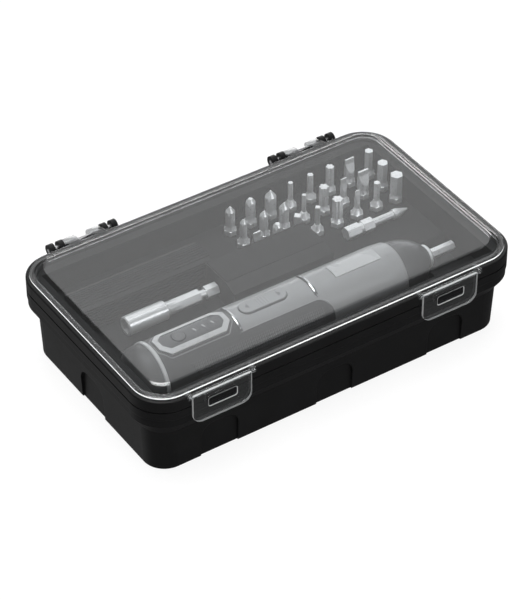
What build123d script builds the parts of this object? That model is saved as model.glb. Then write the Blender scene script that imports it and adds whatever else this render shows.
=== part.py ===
"""Cordless screwdriver and bit set in a hard case, in millimetres.

Frame: +X runs along the case, the latches face -Y, the hinges face +Y and +Z is up.
The origin is the middle of the face that the case rests on.
"""
from math import atan2, cos, degrees, pi, radians, sin, sqrt
import os

from build123d import *

os.makedirs("parts", exist_ok=True)

# ---------------------------------------------------------------- case base
rim_length = 221.0          # outside of the rim band, along X
rim_width = 131.0           # outside of the rim band, along Y
rim_radius = 18.5           # corner of the rim band, seen from above
rim_wall = 2.5
rim_top = 48.5
band_step = 37.0            # where the band steps in
band_step_depth = 0.4
band_bottom = 32.5
shoulder = 25.0             # where the chamfer under the band meets the body
shoulder_inset = 5.3
body_draft = 2.5            # degrees
body_wall = 2.6
floor_thickness = 2.5
ledge = 36.5                # step inside the rim that carries the tray
groove_height = 42.0
groove_size = 0.8
groove_depth = 0.5
recess_width = 21.5         # arched recesses around the foot of the body
recess_height = 20.0
recess_radius = 7.5
recess_depth = 1.0          # at the foot, where the wall is furthest in
recess_pitch = 68.0
foot_round = 0.5

# ---------------------------------------------------------------- lid
lid_gap = 0.2               # under the closed lid's flange
lid_inset = 2.0             # the rim shows this much all round the lid
lid_flange = 2.6            # flat border of the lid
lid_flange_thickness = 1.6
lid_slope = 4.3
lid_rise = 3.2
lid_wall = 1.8
tongue_gap = 0.8            # room for the tongue to swing past the rim
tongue_wall = 1.4
tongue_depth = 2.7

# ---------------------------------------------------------------- hinges
hinge_offset = 67.5         # of each hinge from the middle
pin_radius = 1.1
pin_running_gap = 0.06
pin_behind_rim = 3.8        # pin's axis, behind the rim's outer face
pin_below_rim = 2.3         # pin's axis, below the rim's top
ear_radius = 3.2
knuckle_radius = 3.0
outer_ear = (16.7, 19.8)    # stretches along X, from the hinge's middle
inner_ear = (11.3, 14.2)
knuckle = (3.6, 11.0)
bracket_height = 3.0
bracket_depth = 2.2

# ---------------------------------------------------------------- latches
latch_places = (-71.2, 63.8)   # their middles, a little left of the hinges
latch_width = 33.4
latch_thickness = 1.8
latch_drop = 17.6           # from its pivot to its lower edge
latch_corner = 5.5
latch_barrel = 1.2
latch_out = 1.6             # pivot, in front of the rim's outer face
latch_above_rim = 0.7
slot_width = 16.0
slot_height = 5.0
slot_drop = 7.2             # slot's middle, below the pivot
trunnion_radius = 0.9
trunnion_gap = 0.06
lug_width = 2.2
lug_gap = 0.3
lug_radius = 1.35
catch_depth = 0.5
catch_gap = 0.6             # between the catch and the slot's edges

# ---------------------------------------------------------------- tray
tray_top = 45.5
tray_deck = 31.5
tray_bottom = 2.8
tray_gap = 0.7              # to the base's walls
tray_wall = 2.2
tray_skin = 2.0
lip_inset = 5.0             # tray's lip, inside the rim's outer face
ridge_start = -98.0
ridge_end = -22.0
ridge_front = 18.3
ridge_width = 17.0
ridge_rise = 2.0
rib_pitch = 1.65
rib_radius = 0.45
rib_count = 8
block_start = -26.2         # raised block in the middle of the tray
block_end = 34.0
block_front = -1.5          # where its top begins to slope to the driver's trough
block_slope_drop = 2.5
badge_inset = 0.6
badge_thickness = 0.5

# ---------------------------------------------------------------- bits
bit_columns = 8
bit_rows = 3
bit_pitch = 12.5
bit_centre_x = 51.4
bit_block_gap = 0.3         # between the front row of bits and the middle block
bit_length = 25.0
bit_flats = 6.35
bit_shows = 16.6            # how far a bit stands out of the deck
bit_shoulder = 2.5          # end of the full hexagon, above the deck
bit_taper = 3.0
socket_gap = 0.25

# ---------------------------------------------------------------- loose pieces in the tray
long_bit_start = 54.2
long_bit_length = 39.0
long_bit_y = 9.0
long_shank = 16.4           # its hexagonal stretch
long_neck = 13.2
long_neck_radius = 2.0
long_tip_radius = 2.65
long_point = 7.0            # length of its cone
long_point_radius = 0.5
rest_gap = 0.1              # under what lies in the tray
holder_start = -80.3
holder_length = 53.6
holder_y = 7.0
holder_radius = 5.2
holder_barrel = 24.0
holder_bore = 14.0
magnet_radius = 2.6
magnet_length = 3.0

# ---------------------------------------------------------------- driver
driver_y = -26.2
driver_head_room = 2.0      # between the control frame and the closed lid
trough_gap = 0.4
core_radius = 14.2
core_wall = 1.5
skin_gap = 0.1              # between nested skins
grip_radius = 16.5
shell_step = 0.1            # how far the light shell lies inside the grips
ring_proud = 0.5            # of the rear ring, over the grips
cap_end = -97.3
cap_start = -87.0
ring_width = 2.2
panel_start = -39.0         # light shell begins, between the grips
grip_end = 12.0
grip_top = 12.8             # grip's upper edge, above the axis
grip_corner = 9.0
shell_end = 58.0
shell_nose_step = 0.6
nose_end = 78.5
nose_radius = 6.2
light_ring_width = 1.8
spindle_radius = 5.0
spindle_end = 81.0
spindle_gap = 0.05
frame_start = -83.0
frame_end = -42.5
frame_half_width = 8.0
frame_corner = 4.5
frame_border = 2.6
frame_thickness = 0.8
button_x = -70.0
button_radius = 3.6
button_gap = 0.2
button_travel = 0.6
rocker_x = -20.9
rocker_length = 27.0
rocker_width = 8.6
rocker_gap = 0.35
rocker_proud = 0.8
rocker_clearance = 0.9      # under its ends, for the tilt
rocker_keel = 1.2           # radius of the keel that it rocks on
trim_positions = (-39.8, 5.6)
trim_width = 1.8
trim_half_width = 9.5
trim_proud = 0.8
plate_start = 20.0
plate_end = 47.5
plate_half_width = 4.6
plate_thickness = 0.4

# ---------------------------------------------------------------- driver's inside
battery_radius = 9.0
battery_length = 65.0
battery_start = -83.5
board_thickness = 1.2
board_half_width = 5.5
board_setback = 4.0         # how much shorter the board is than the cell
motor_start = -16.0
motor_length = 32.0
motor_radius = 12.5
shaft_radius = 1.0
shaft_gap = 0.06
gear_module = 0.6
sun_teeth = 12
planet_teeth = 12
planet_count = 3
gear_start = 18.0
gear_width = 8.0
gear_side_gap = 0.5
carrier_radius = 9.6
carrier_thickness = 3.0
planet_pin_radius = 1.1
bearing_width = 6.0
bearing_radius = 9.0
chuck_depth = 13.0
fitted_bit_proud = 15.5
fitted_bit_flats = 4.5

# ================================================================ shared places
half_length = rim_length / 2
half_width = rim_width / 2
lid_underside = rim_top + lid_gap
lid_flange_top = lid_underside + lid_flange_thickness
lid_top = lid_flange_top + lid_rise
pin_y = half_width + pin_behind_rim
pin_z = rim_top - pin_below_rim
latch_y = -half_width - latch_out
latch_z = rim_top + latch_above_rim
bit_tip = tray_deck + bit_shows
bit_foot = bit_tip - bit_length
hex_corner = bit_flats / sqrt(3)
deck_inner_x = half_length - shoulder_inset - body_wall - tray_gap - tray_wall
deck_inner_y = half_width - shoulder_inset - body_wall - tray_gap - tray_wall
shell_radius = grip_radius - shell_step
shell_nose_radius = shell_radius - shell_nose_step
ring_radius = grip_radius + ring_proud
driver_z = lid_top - lid_wall - driver_head_room - frame_thickness - grip_radius
bit_centre_y = ridge_front + bit_block_gap + (bit_flats + (bit_rows - 1) * bit_pitch) / 2
trough_radius = ring_radius + trough_gap
trough_back = driver_y + trough_radius
driver_axis = Axis((0, driver_y, driver_z), (1, 0, 0))


def save(part, name):
    """Label a finished piece and write it."""
    part.label = name
    export_step(part, f"parts/{name}.step")


def plan(height):
    """Plane seen from above at a height."""
    return Plane.XY.offset(height)


def across(x, y=driver_y, z=driver_z):
    """Plane square to X at x, whose own X is the row's +Y and own Y is +Z."""
    return Plane(origin=(x, y, z), x_dir=(0, 1, 0), z_dir=(1, 0, 0))


def along(y, z=0.0):
    """Plane square to Y at y, whose own X is the row's +X and own Y is +Z."""
    return Plane(origin=(0, y, z), x_dir=(1, 0, 0), z_dir=(0, -1, 0))


def rounded_plan(inset):
    """Rounded rectangle that follows the rim at an inset, as length, width and corner."""
    return rim_length - 2 * inset, rim_width - 2 * inset, rim_radius - inset


# ================================================================ case base
with BuildPart() as case_base:
    with BuildSketch(plan(band_step)):
        RectangleRounded(*rounded_plan(0))
    extrude(amount=rim_top - band_step)
    with BuildSketch(plan(band_bottom)):
        RectangleRounded(*rounded_plan(band_step_depth))
    extrude(amount=band_step - band_bottom)
    chamfer_height = band_bottom - shoulder
    chamfer_inset = shoulder_inset - band_step_depth
    with BuildSketch(plan(band_bottom)):
        RectangleRounded(*rounded_plan(band_step_depth))
    extrude(amount=-chamfer_height, taper=degrees(atan2(chamfer_inset, chamfer_height)))
    with BuildSketch(plan(shoulder)):
        RectangleRounded(*rounded_plan(shoulder_inset))
    extrude(amount=-shoulder, taper=body_draft)
    fillet(case_base.edges().group_by(Axis.Z)[0], radius=foot_round)
    fillet(case_base.edges().group_by(Axis.Z)[-1], radius=0.8)

    # inside: a wide rim with a ledge for the tray, and a drafted well below it
    with BuildSketch(plan(ledge)):
        RectangleRounded(*rounded_plan(rim_wall))
    extrude(amount=rim_top - ledge, mode=Mode.SUBTRACT)
    with BuildSketch(plan(ledge)):
        RectangleRounded(*rounded_plan(shoulder_inset + body_wall))
    extrude(amount=floor_thickness - ledge, taper=body_draft / 2, mode=Mode.SUBTRACT)

    # fine groove round the band
    with BuildSketch(plan(groove_height - groove_size / 2)):
        RectangleRounded(*rounded_plan(-1))
        RectangleRounded(*rounded_plan(groove_depth), mode=Mode.SUBTRACT)
    extrude(amount=groove_size, mode=Mode.SUBTRACT)

    # arched recesses, three on each long side and one on each end
    foot_inset = shoulder_inset + shoulder * sin(radians(body_draft))
    recess_y = half_width - foot_inset - recess_depth
    recess_x = half_length - foot_inset - recess_depth
    for side in (-1, 1):
        with BuildSketch(along(side * recess_y)):
            with Locations(*[(i * recess_pitch, 0) for i in (-1, 0, 1)]):
                RectangleRounded(recess_width, 2 * recess_height, recess_radius)
        extrude(amount=-side * rim_wall * 3, mode=Mode.SUBTRACT)
        with BuildSketch(across(side * recess_x, 0, 0)):
            RectangleRounded(recess_width, 2 * recess_height, recess_radius)
        extrude(amount=side * rim_wall * 3, mode=Mode.SUBTRACT)

    # hinge brackets behind the rim, each with four ears round the pin
    for side in (-1, 1):
        middle = side * hinge_offset
        with BuildSketch(along(half_width - 1)):
            with Locations((middle, pin_z - ear_radius - bracket_height / 2)):
                Rectangle(2 * outer_ear[1], bracket_height)
        extrude(amount=-(bracket_depth + 1))
        for mirror_side in (-1, 1):
            for near, far in (inner_ear, outer_ear):
                start = middle + (near if mirror_side > 0 else -far)
                with BuildSketch(across(start, 0, 0)):
                    with Locations((pin_y, pin_z)):
                        Circle(ear_radius)
                    with BuildLine():
                        Polyline(
                            (half_width - 1, pin_z - ear_radius - bracket_height),
                            (half_width - 1, pin_z),
                            (pin_y, pin_z),
                            (pin_y + ear_radius * 0.7, pin_z - ear_radius * 0.7),
                            (half_width + bracket_depth, pin_z - ear_radius - bracket_height),
                            close=True,
                        )
                    make_face()
                    with Locations((pin_y, pin_z)):
                        Circle(pin_radius, mode=Mode.SUBTRACT)
                extrude(amount=far - near)

    # catches that fill the latches' slots
    for middle in latch_places:
        with BuildSketch(along(-half_width + 1)):
            with Locations((middle, latch_z - slot_drop)):
                Rectangle(slot_width - 2 * catch_gap, slot_height - 2 * catch_gap)
        extrude(amount=1 + catch_depth)
save(case_base.part, "case_base")

# ================================================================ lid
with BuildPart() as case_lid:
    with BuildSketch(plan(lid_underside)):
        RectangleRounded(*rounded_plan(lid_inset))
    extrude(amount=lid_flange_thickness)
    slope_angle = degrees(atan2(lid_slope, lid_rise))
    with BuildSketch(plan(lid_flange_top)):
        RectangleRounded(*rounded_plan(lid_inset + lid_flange))
    extrude(amount=lid_rise, taper=slope_angle)
    fillet(case_lid.edges().group_by(Axis.Z)[-1], radius=0.6)

    # the hollow follows the slope at the lid's wall
    wall_down = lid_wall * sqrt(1 + (lid_rise / lid_slope) ** 2)
    hollow_height = lid_top - lid_wall - lid_underside
    hollow_run = (lid_underside - lid_flange_top + wall_down) * lid_slope / lid_rise
    hollow_inset = lid_inset + lid_flange + hollow_run
    with BuildSketch(plan(lid_underside)):
        RectangleRounded(*rounded_plan(hollow_inset))
    extrude(amount=hollow_height, taper=slope_angle, mode=Mode.SUBTRACT)

    # tongue that drops inside the rim
    tongue_inset = rim_wall + tongue_gap
    with BuildSketch(plan(lid_underside)):
        RectangleRounded(*rounded_plan(tongue_inset))
        RectangleRounded(*rounded_plan(tongue_inset + tongue_wall), mode=Mode.SUBTRACT)
    extrude(amount=-tongue_depth)

    # hinge knuckles on arms over the rim
    for side in (-1, 1):
        for mirror_side in (-1, 1):
            start = side * hinge_offset + (knuckle[0] if mirror_side > 0 else -knuckle[1])
            with BuildSketch(across(start, 0, 0)):
                with Locations((pin_y, pin_z)):
                    Circle(knuckle_radius)
                with BuildLine():
                    Polyline(
                        (half_width - lid_inset - 1, lid_underside),
                        (half_width - lid_inset - 1, lid_flange_top),
                        (half_width - lid_inset, lid_flange_top),
                        (pin_y + knuckle_radius * 0.7, pin_z + knuckle_radius * 0.7),
                        (pin_y, lid_underside),
                        close=True,
                    )
                make_face()
                with Locations((pin_y, pin_z)):
                    Circle(pin_radius + pin_running_gap, mode=Mode.SUBTRACT)
            extrude(amount=knuckle[1] - knuckle[0])

    # lugs that carry the latches' trunnions
    for middle in latch_places:
        for mirror_side in (-1, 1):
            near = latch_width / 2 + lug_gap
            start = middle + (near if mirror_side > 0 else -near - lug_width)
            with BuildSketch(across(start, 0, 0)):
                with Locations((latch_y, latch_z)):
                    Circle(lug_radius)
                with BuildLine():
                    Polyline(
                        (-half_width + lid_inset + 1, lid_underside),
                        (-half_width + lid_inset + 1, lid_flange_top),
                        (-half_width + lid_inset, lid_flange_top),
                        (latch_y, latch_z + lug_radius),
                        (latch_y, lid_underside),
                        close=True,
                    )
                make_face()
                with Locations((latch_y, latch_z)):
                    Circle(trunnion_radius + trunnion_gap, mode=Mode.SUBTRACT)
            extrude(amount=lug_width)
save(case_lid.part, "case_lid")

with BuildPart() as hinge_pins:
    for side in (-1, 1):
        with BuildSketch(across(side * hinge_offset - outer_ear[1], pin_y, pin_z)):
            Circle(pin_radius)
        extrude(amount=2 * outer_ear[1])
save(hinge_pins.part, "hinge_pins")

# ================================================================ latches
for middle, latch_name in zip(latch_places, ("latch_left", "latch_right")):
    with BuildPart() as latch:
        with BuildSketch(along(latch_y + latch_thickness / 2)):
            with Locations((middle, latch_z - latch_drop / 2)):
                Rectangle(latch_width, latch_drop)
            with Locations((middle, latch_z - slot_drop)):
                RectangleRounded(slot_width, slot_height, 1.0, mode=Mode.SUBTRACT)
        extrude(amount=latch_thickness)
        lower_corners = latch.edges().filter_by(Axis.Y).group_by(Axis.Z)[0]
        fillet(lower_corners, radius=latch_corner)
        with BuildSketch(across(middle - latch_width / 2, latch_y, latch_z)):
            Circle(latch_barrel)
        extrude(amount=latch_width)
        trunnion_reach = latch_width / 2 + lug_gap + lug_width
        with BuildSketch(across(middle - trunnion_reach, latch_y, latch_z)):
            Circle(trunnion_radius)
        extrude(amount=2 * trunnion_reach)
    save(latch.part, latch_name)

# ================================================================ tray
columns = [bit_centre_x + (i - (bit_columns - 1) / 2) * bit_pitch for i in range(bit_columns)]
rows = [bit_centre_y + ((bit_rows - 1) / 2 - j) * bit_pitch for j in range(bit_rows)]
ridge_middle = ridge_front + ridge_width / 2
ridge_arc = (ridge_width**2 / 4 + ridge_rise**2) / (2 * ridge_rise)
ridge_arc_z = tray_top + ridge_rise - ridge_arc
block_middle = (block_start + block_end) / 2
block_length = block_end - block_start
well_inset = shoulder_inset + body_wall + tray_gap
nose_slot_start = nose_end - 4
nose_slot_half = nose_radius + 5

with BuildPart() as tray:
    with BuildSketch(plan(ledge)):
        RectangleRounded(*rounded_plan(lip_inset))
    extrude(amount=tray_top - ledge)
    with BuildSketch(plan(ledge)):
        RectangleRounded(*rounded_plan(well_inset))
    extrude(amount=tray_bottom - ledge, taper=body_draft / 2)
    fillet(tray.edges().group_by(Axis.Z)[-1], radius=0.8)

    # deck, cut down round the ridge and the middle block
    with BuildSketch(plan(tray_deck)):
        Rectangle(2 * deck_inner_x, 2 * deck_inner_y)
        with Locations((block_middle, (trough_back + ridge_front) / 2)):
            Rectangle(block_length, ridge_front - trough_back, mode=Mode.SUBTRACT)
        with Locations(((ridge_start + ridge_end) / 2, ridge_middle)):
            Rectangle(ridge_end - ridge_start, ridge_width, mode=Mode.SUBTRACT)
    extrude(amount=tray_top - tray_deck, mode=Mode.SUBTRACT)

    # rounded back of the ridge
    with BuildSketch(across(ridge_start, 0, 0)):
        with BuildLine():
            ThreePointArc(
                (ridge_front, tray_top),
                (ridge_middle, tray_top + ridge_rise),
                (ridge_front + ridge_width, tray_top),
            )
            Line((ridge_front + ridge_width, tray_top), (ridge_front, tray_top))
        make_face()
    extrude(amount=ridge_end - ridge_start)

    # ribs over the ridge's back and down its front face
    rib_length = ridge_end - ridge_start
    for i in range(rib_count):
        back_angle = pi / 2 - (i - (rib_count - 1) / 2) * rib_pitch / ridge_arc
        back_y = ridge_middle + ridge_arc * cos(back_angle)
        back_z = ridge_arc_z + ridge_arc * sin(back_angle)
        face_z = tray_top - (i + 0.7) * rib_pitch
        with BuildSketch(across(ridge_start, 0, 0)):
            with Locations((back_y, back_z)):
                Circle(rib_radius)
        extrude(amount=rib_length)
        with BuildSketch(across(ridge_start, 0, 0)):
            with Locations((ridge_front, face_z)):
                Circle(rib_radius)
        extrude(amount=block_start - ridge_start)

    # trough for the driver, and a narrower run for its nose
    with BuildSketch(across(-deck_inner_x)):
        Circle(trough_radius)
        with Locations((0, trough_radius)):
            Rectangle(2 * trough_radius, 2 * trough_radius)
    extrude(amount=deck_inner_x + nose_slot_start, mode=Mode.SUBTRACT)
    with BuildSketch(across(nose_slot_start)):
        Circle(nose_slot_half)
        with Locations((0, nose_slot_half)):
            Rectangle(2 * nose_slot_half, 2 * nose_slot_half)
    extrude(amount=deck_inner_x - nose_slot_start, mode=Mode.SUBTRACT)

    # the block slopes down from its badge to the trough
    with BuildSketch(across(block_start, 0, 0)):
        with BuildLine():
            Polyline(
                (block_front, tray_top),
                (trough_back, tray_top - block_slope_drop),
                (trough_back, tray_top + 1),
                (block_front, tray_top + 1),
                close=True,
            )
        make_face()
    extrude(amount=block_length, mode=Mode.SUBTRACT)

    # seat of the badge in the block's top
    badge_middle_y = (block_front + ridge_front) / 2
    badge_length = block_length - 2 * badge_inset
    badge_width = ridge_front - block_front - 2 * badge_inset
    with BuildSketch(plan(tray_top)):
        with Locations((block_middle, badge_middle_y)):
            Rectangle(badge_length, badge_width)
    extrude(amount=-badge_thickness, mode=Mode.SUBTRACT)

    # hollow underside: the tray is a moulding on its skin
    under_top = tray_deck - tray_skin
    under_x = deck_inner_x
    under_front = trough_back + tray_wall
    under_back = deck_inner_y
    socket_left = columns[0] - bit_pitch / 2
    socket_front = rows[-1] - bit_pitch / 2
    with BuildSketch(plan(tray_bottom)):
        with Locations((0, (under_front + under_back) / 2)):
            Rectangle(2 * under_x, under_back - under_front)
    extrude(amount=bit_foot - tray_skin - tray_bottom, mode=Mode.SUBTRACT)
    with BuildSketch(plan(bit_foot - tray_skin)):
        with Locations(((socket_left - under_x) / 2, (under_front + under_back) / 2)):
            Rectangle(socket_left + under_x, under_back - under_front)
        with Locations(((socket_left + under_x) / 2, (under_front + socket_front) / 2)):
            Rectangle(under_x - socket_left, socket_front - under_front)
    extrude(amount=under_top - bit_foot + tray_skin, mode=Mode.SUBTRACT)
    with BuildSketch(plan(under_top)):
        with Locations(((ridge_start + ridge_end) / 2, ridge_middle)):
            Rectangle(ridge_end - ridge_start - 2 * tray_wall, ridge_width - 2 * tray_wall)
        with Locations((block_middle, (under_front + ridge_front - tray_wall) / 2)):
            Rectangle(block_length - 2 * tray_wall, ridge_front - tray_wall - under_front)
    extrude(amount=tray_top - block_slope_drop - tray_skin - under_top, mode=Mode.SUBTRACT)
    trough_floor = driver_z - trough_radius - tray_skin
    with BuildSketch(plan(tray_bottom)):
        with Locations((0, (under_front - under_back) / 2)):
            Rectangle(2 * under_x, under_front + under_back)
    extrude(amount=trough_floor - tray_bottom, mode=Mode.SUBTRACT)
    shelf_back = driver_y - trough_radius - tray_wall
    with BuildSketch(plan(tray_bottom)):
        with Locations((0, (shelf_back - under_back) / 2)):
            Rectangle(2 * under_x, shelf_back + under_back)
    extrude(amount=under_top - tray_bottom, mode=Mode.SUBTRACT)

    # hexagonal sockets for the bits
    with BuildSketch(plan(tray_deck)):
        with Locations(*[(x, y) for y in rows for x in columns]):
            RegularPolygon(bit_flats / 2 + socket_gap, 6, major_radius=False)
    extrude(amount=bit_foot - tray_deck, mode=Mode.SUBTRACT)
save(tray.part, "tray")

with BuildPart() as badge_plate:
    with BuildSketch(plan(tray_top - badge_thickness)):
        with Locations((block_middle, badge_middle_y)):
            Rectangle(badge_length - 0.2, badge_width - 0.2)
    extrude(amount=badge_thickness + 0.3)
    chamfer(badge_plate.edges().group_by(Axis.Z)[-1], length=0.25)
save(badge_plate.part, "badge_plate")

# ================================================================ bits
shoulder_z = tray_deck + bit_shoulder
neck_z = shoulder_z + bit_taper


def bit_body(x, y, foot, neck_radius):
    """Hexagonal shank that narrows to a round neck, added to the part being built."""
    with BuildSketch(plan(foot)) as shank:
        with Locations((x, y)):
            RegularPolygon(bit_flats / 2, 6, major_radius=False)
    extrude(shank.sketch, amount=shoulder_z - foot)
    with BuildSketch(plan(shoulder_z)) as shoulder_circle:
        with Locations((x, y)):
            Circle(bit_flats / 2)
    narrowing = degrees(atan2(bit_flats / 2 - neck_radius, bit_taper))
    extrude(shoulder_circle.sketch, amount=bit_taper, taper=narrowing)


def cross_tip(x, y, radius, point, wing):
    """Cross-head tip: a cone with four flutes cut between its wings."""
    cone = (radius - point) * 1.35
    with BuildSketch(plan(neck_z)) as stem:
        with Locations((x, y)):
            Circle(radius)
    extrude(stem.sketch, amount=bit_tip - cone - neck_z)
    with BuildSketch(plan(bit_tip - cone)) as cone_base:
        with Locations((x, y)):
            Circle(radius)
    extrude(cone_base.sketch, amount=cone, taper=degrees(atan2(radius - point, cone)))
    flute_length = cone + radius
    flute_taper = degrees(atan2(radius * 0.75 - wing / 2, flute_length))
    with BuildSketch(plan(bit_tip)) as flutes:
        for quarter in range(4):
            angle = radians(45 + 90 * quarter)
            reach = (wing / 2 + radius) * sqrt(2)
            with Locations((x + reach * cos(angle), y + reach * sin(angle))):
                Rectangle(2 * radius, 2 * radius)
    extrude(flutes.sketch, amount=-flute_length, taper=flute_taper, mode=Mode.SUBTRACT)


def flat_tip(x, y, width, thickness):
    """Slotted tip: a round stem ground to a blade on two sides."""
    stem = width / 2
    blade = 8.0
    with BuildSketch(plan(neck_z)) as stem_circle:
        with Locations((x, y)):
            Circle(stem)
    extrude(stem_circle.sketch, amount=bit_tip - neck_z)
    for side in (-1, 1):
        flank = Plane(origin=(x - side * stem, y, bit_tip), x_dir=(0, side, 0), z_dir=(side, 0, 0))
        with BuildSketch(flank) as ground_off:
            with BuildLine():
                Polyline(
                    (thickness / 2, 0.1), (thickness / 2, -blade * 0.35),
                    (stem, -blade), (stem + 1, -blade), (stem + 1, 0.1), close=True,
                )
            make_face()
        extrude(ground_off.sketch, amount=2 * stem, mode=Mode.SUBTRACT)


def plain_tip(x, y, sides, flats):
    """Tip of even section: a hexagon or a square."""
    with BuildSketch(plan(neck_z - 0.5)) as section:
        with Locations((x, y)):
            RegularPolygon(flats / 2, sides, major_radius=False)
    extrude(section.sketch, amount=bit_tip - neck_z + 0.5)


def star_tip(x, y, diameter):
    """Six-lobed tip."""
    with BuildSketch(plan(neck_z - 0.5)) as section:
        with Locations((x, y)):
            Circle(diameter / 2)
            with PolarLocations(diameter * 0.56, 6):
                Circle(diameter * 0.17, mode=Mode.SUBTRACT)
    extrude(section.sketch, amount=bit_tip - neck_z + 0.5)


# each bit: its name, the shape of its tip, and that shape's sizes
bit_table = [
    [
        ("bit_cross_large", cross_tip, (2.5, 0.5, 0.9)),
        ("bit_cross_blunt", cross_tip, (2.6, 1.2, 1.1)),
        ("bit_cross_broad", cross_tip, (3.0, 0.4, 0.9)),
        ("bit_star_10", star_tip, (2.7,)),
        ("bit_star_15", star_tip, (3.3,)),
        ("bit_star_25", star_tip, (4.4,)),
        ("bit_flat_wide", flat_tip, (5.5, 0.9)),
        ("bit_hex_4", plain_tip, (6, 4.0)),
    ],
    [
        ("bit_cross_small", cross_tip, (1.9, 0.4, 0.6)),
        ("bit_cross_narrow", cross_tip, (2.2, 0.4, 0.7)),
        ("bit_cross_middle", cross_tip, (2.6, 0.4, 0.8)),
        ("bit_star_8", star_tip, (2.3,)),
        ("bit_star_27", star_tip, (5.0,)),
        ("bit_flat_narrow", flat_tip, (3.5, 0.6)),
        ("bit_flat_broad", flat_tip, (6.2, 1.1)),
        ("bit_hex_5", plain_tip, (6, 5.0)),
    ],
    [
        ("bit_flat_small", flat_tip, (4.4, 0.8)),
        ("bit_cross_stub", cross_tip, (2.4, 1.3, 1.2)),
        ("bit_square_large", plain_tip, (4, 3.3)),
        ("bit_square_small", plain_tip, (4, 2.4)),
        ("bit_star_30", star_tip, (5.6,)),
        ("bit_flat_fine", flat_tip, (3.0, 0.5)),
        ("bit_hex_3", plain_tip, (6, 3.0)),
        ("bit_hex_6", plain_tip, (6, 6.0)),
    ],
]

for row_y, row in zip(rows, bit_table):
    for column_x, (bit_name, tip, sizes) in zip(columns, row):
        with BuildPart() as bit:
            bit_body(column_x, row_y, bit_foot, min(2.6, 1.3 + 0.2 * len(sizes)))
            tip(column_x, row_y, *sizes)
        save(bit.part, bit_name)

# long cross-head bit lying on the deck
long_bit_z = tray_deck + bit_flats / 2 + rest_gap
neck_start = long_bit_start + long_shank
tip_start = neck_start + long_neck
point_start = long_bit_start + long_bit_length - long_point
with BuildPart() as long_bit:
    with BuildSketch(across(long_bit_start, long_bit_y, long_bit_z)):
        RegularPolygon(bit_flats / 2, 6, major_radius=False)
    extrude(amount=long_shank)
    with BuildSketch(across(neck_start, long_bit_y, long_bit_z)):
        Circle(long_neck_radius)
    extrude(amount=long_neck)
    with BuildSketch(across(tip_start, long_bit_y, long_bit_z)):
        Circle(long_tip_radius)
    extrude(amount=point_start - tip_start)
    with BuildSketch(across(point_start, long_bit_y, long_bit_z)):
        Circle(long_tip_radius)
    long_point_taper = degrees(atan2(long_tip_radius - long_point_radius, long_point))
    extrude(amount=long_point, taper=long_point_taper)
    ball_groove = across(long_bit_start + 8.0, long_bit_y, long_bit_z)
    with BuildSketch(ball_groove):
        Circle(hex_corner + 0.5)
        Circle(bit_flats / 2 - 0.35, mode=Mode.SUBTRACT)
    extrude(amount=2.0, mode=Mode.SUBTRACT)
save(long_bit.part, "long_bit")

# ================================================================ magnetic bit holder
holder_z = tray_deck + holder_radius + rest_gap
holder_axis = Axis((0, holder_y, holder_z), (1, 0, 0))
holder_end = holder_start + holder_length
barrel_end = holder_start + holder_barrel
bore_floor = holder_start + holder_bore + magnet_length
with BuildPart() as holder_body:
    with BuildSketch(along(holder_y, 0)):
        with BuildLine():
            Polyline(
                (holder_start, holder_z),
                (holder_start, holder_z + holder_radius - 0.6),
                (holder_start + 0.6, holder_z + holder_radius),
                (barrel_end - 1.2, holder_z + holder_radius),
                (barrel_end, holder_z + bit_flats * 0.6),
                (barrel_end + 7.0, holder_z + bit_flats * 0.5),
                (barrel_end + 7.0, holder_z),
                close=True,
            )
        make_face()
    revolve(axis=holder_axis)
    with BuildSketch(across(barrel_end, holder_y, holder_z)):
        RegularPolygon(bit_flats / 2, 6, major_radius=False)
    extrude(amount=holder_end - barrel_end)
    with BuildSketch(across(holder_end - 10.5, holder_y, holder_z)):
        Circle(hex_corner + 0.5)
        Circle(bit_flats * 0.36, mode=Mode.SUBTRACT)
    extrude(amount=3.6, mode=Mode.SUBTRACT)
    with BuildSketch(across(holder_start, holder_y, holder_z)):
        RegularPolygon(bit_flats / 2 + socket_gap / 2, 6, major_radius=False)
    extrude(amount=holder_bore, mode=Mode.SUBTRACT)
    with BuildSketch(across(holder_start, holder_y, holder_z)):
        Circle(magnet_radius)
    extrude(amount=bore_floor - holder_start, mode=Mode.SUBTRACT)
save(holder_body.part, "holder_body")

with BuildPart() as holder_magnet:
    with BuildSketch(across(bore_floor - magnet_length, holder_y, holder_z)):
        Circle(magnet_radius)
    extrude(amount=magnet_length)
save(holder_magnet.part, "holder_magnet")

# ================================================================ driver: skins
def turned(points):
    """Solid of revolution about the driver's axis, from (x, radius) points."""
    with BuildSketch(along(driver_y)) as half_section:
        with BuildLine():
            Polyline(*[(x, driver_z + r) for x, r in points], close=True)
        make_face()
    revolve(half_section.sketch, axis=driver_axis)


def tube(start, end, outer, inner, mode=Mode.ADD):
    """Tube about the driver's axis."""
    with BuildSketch(across(start)) as section:
        Circle(outer)
        if inner > 0:
            Circle(inner, mode=Mode.SUBTRACT)
    extrude(section.sketch, amount=end - start, mode=mode)


def panel_outline(start, end, half_width, corner, mode=Mode.ADD):
    """Rectangle with cut corners, seen from above."""
    with Locations(((start + end) / 2, driver_y)):
        Polygon(
            *[
                (sx * (end - start - 2 * a) / 2, sy * (half_width - b))
                for sx, sy, a, b in (
                    (-1, -1, corner, 0), (1, -1, corner, 0), (1, -1, 0, corner), (1, 1, 0, corner),
                    (1, 1, corner, 0), (-1, 1, corner, 0), (-1, 1, 0, corner), (-1, -1, 0, corner),
                )
            ],
            mode=mode,
        )


core_inner = core_radius - core_wall
skin_radius = core_radius + skin_gap
above_axis = plan(driver_z)
well_radius = button_radius + button_gap + 0.3
rocker_well = (rocker_length + 2 * rocker_gap, rocker_width + 2 * rocker_gap)
grip_plane = along(driver_y + grip_radius + 1)

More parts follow.
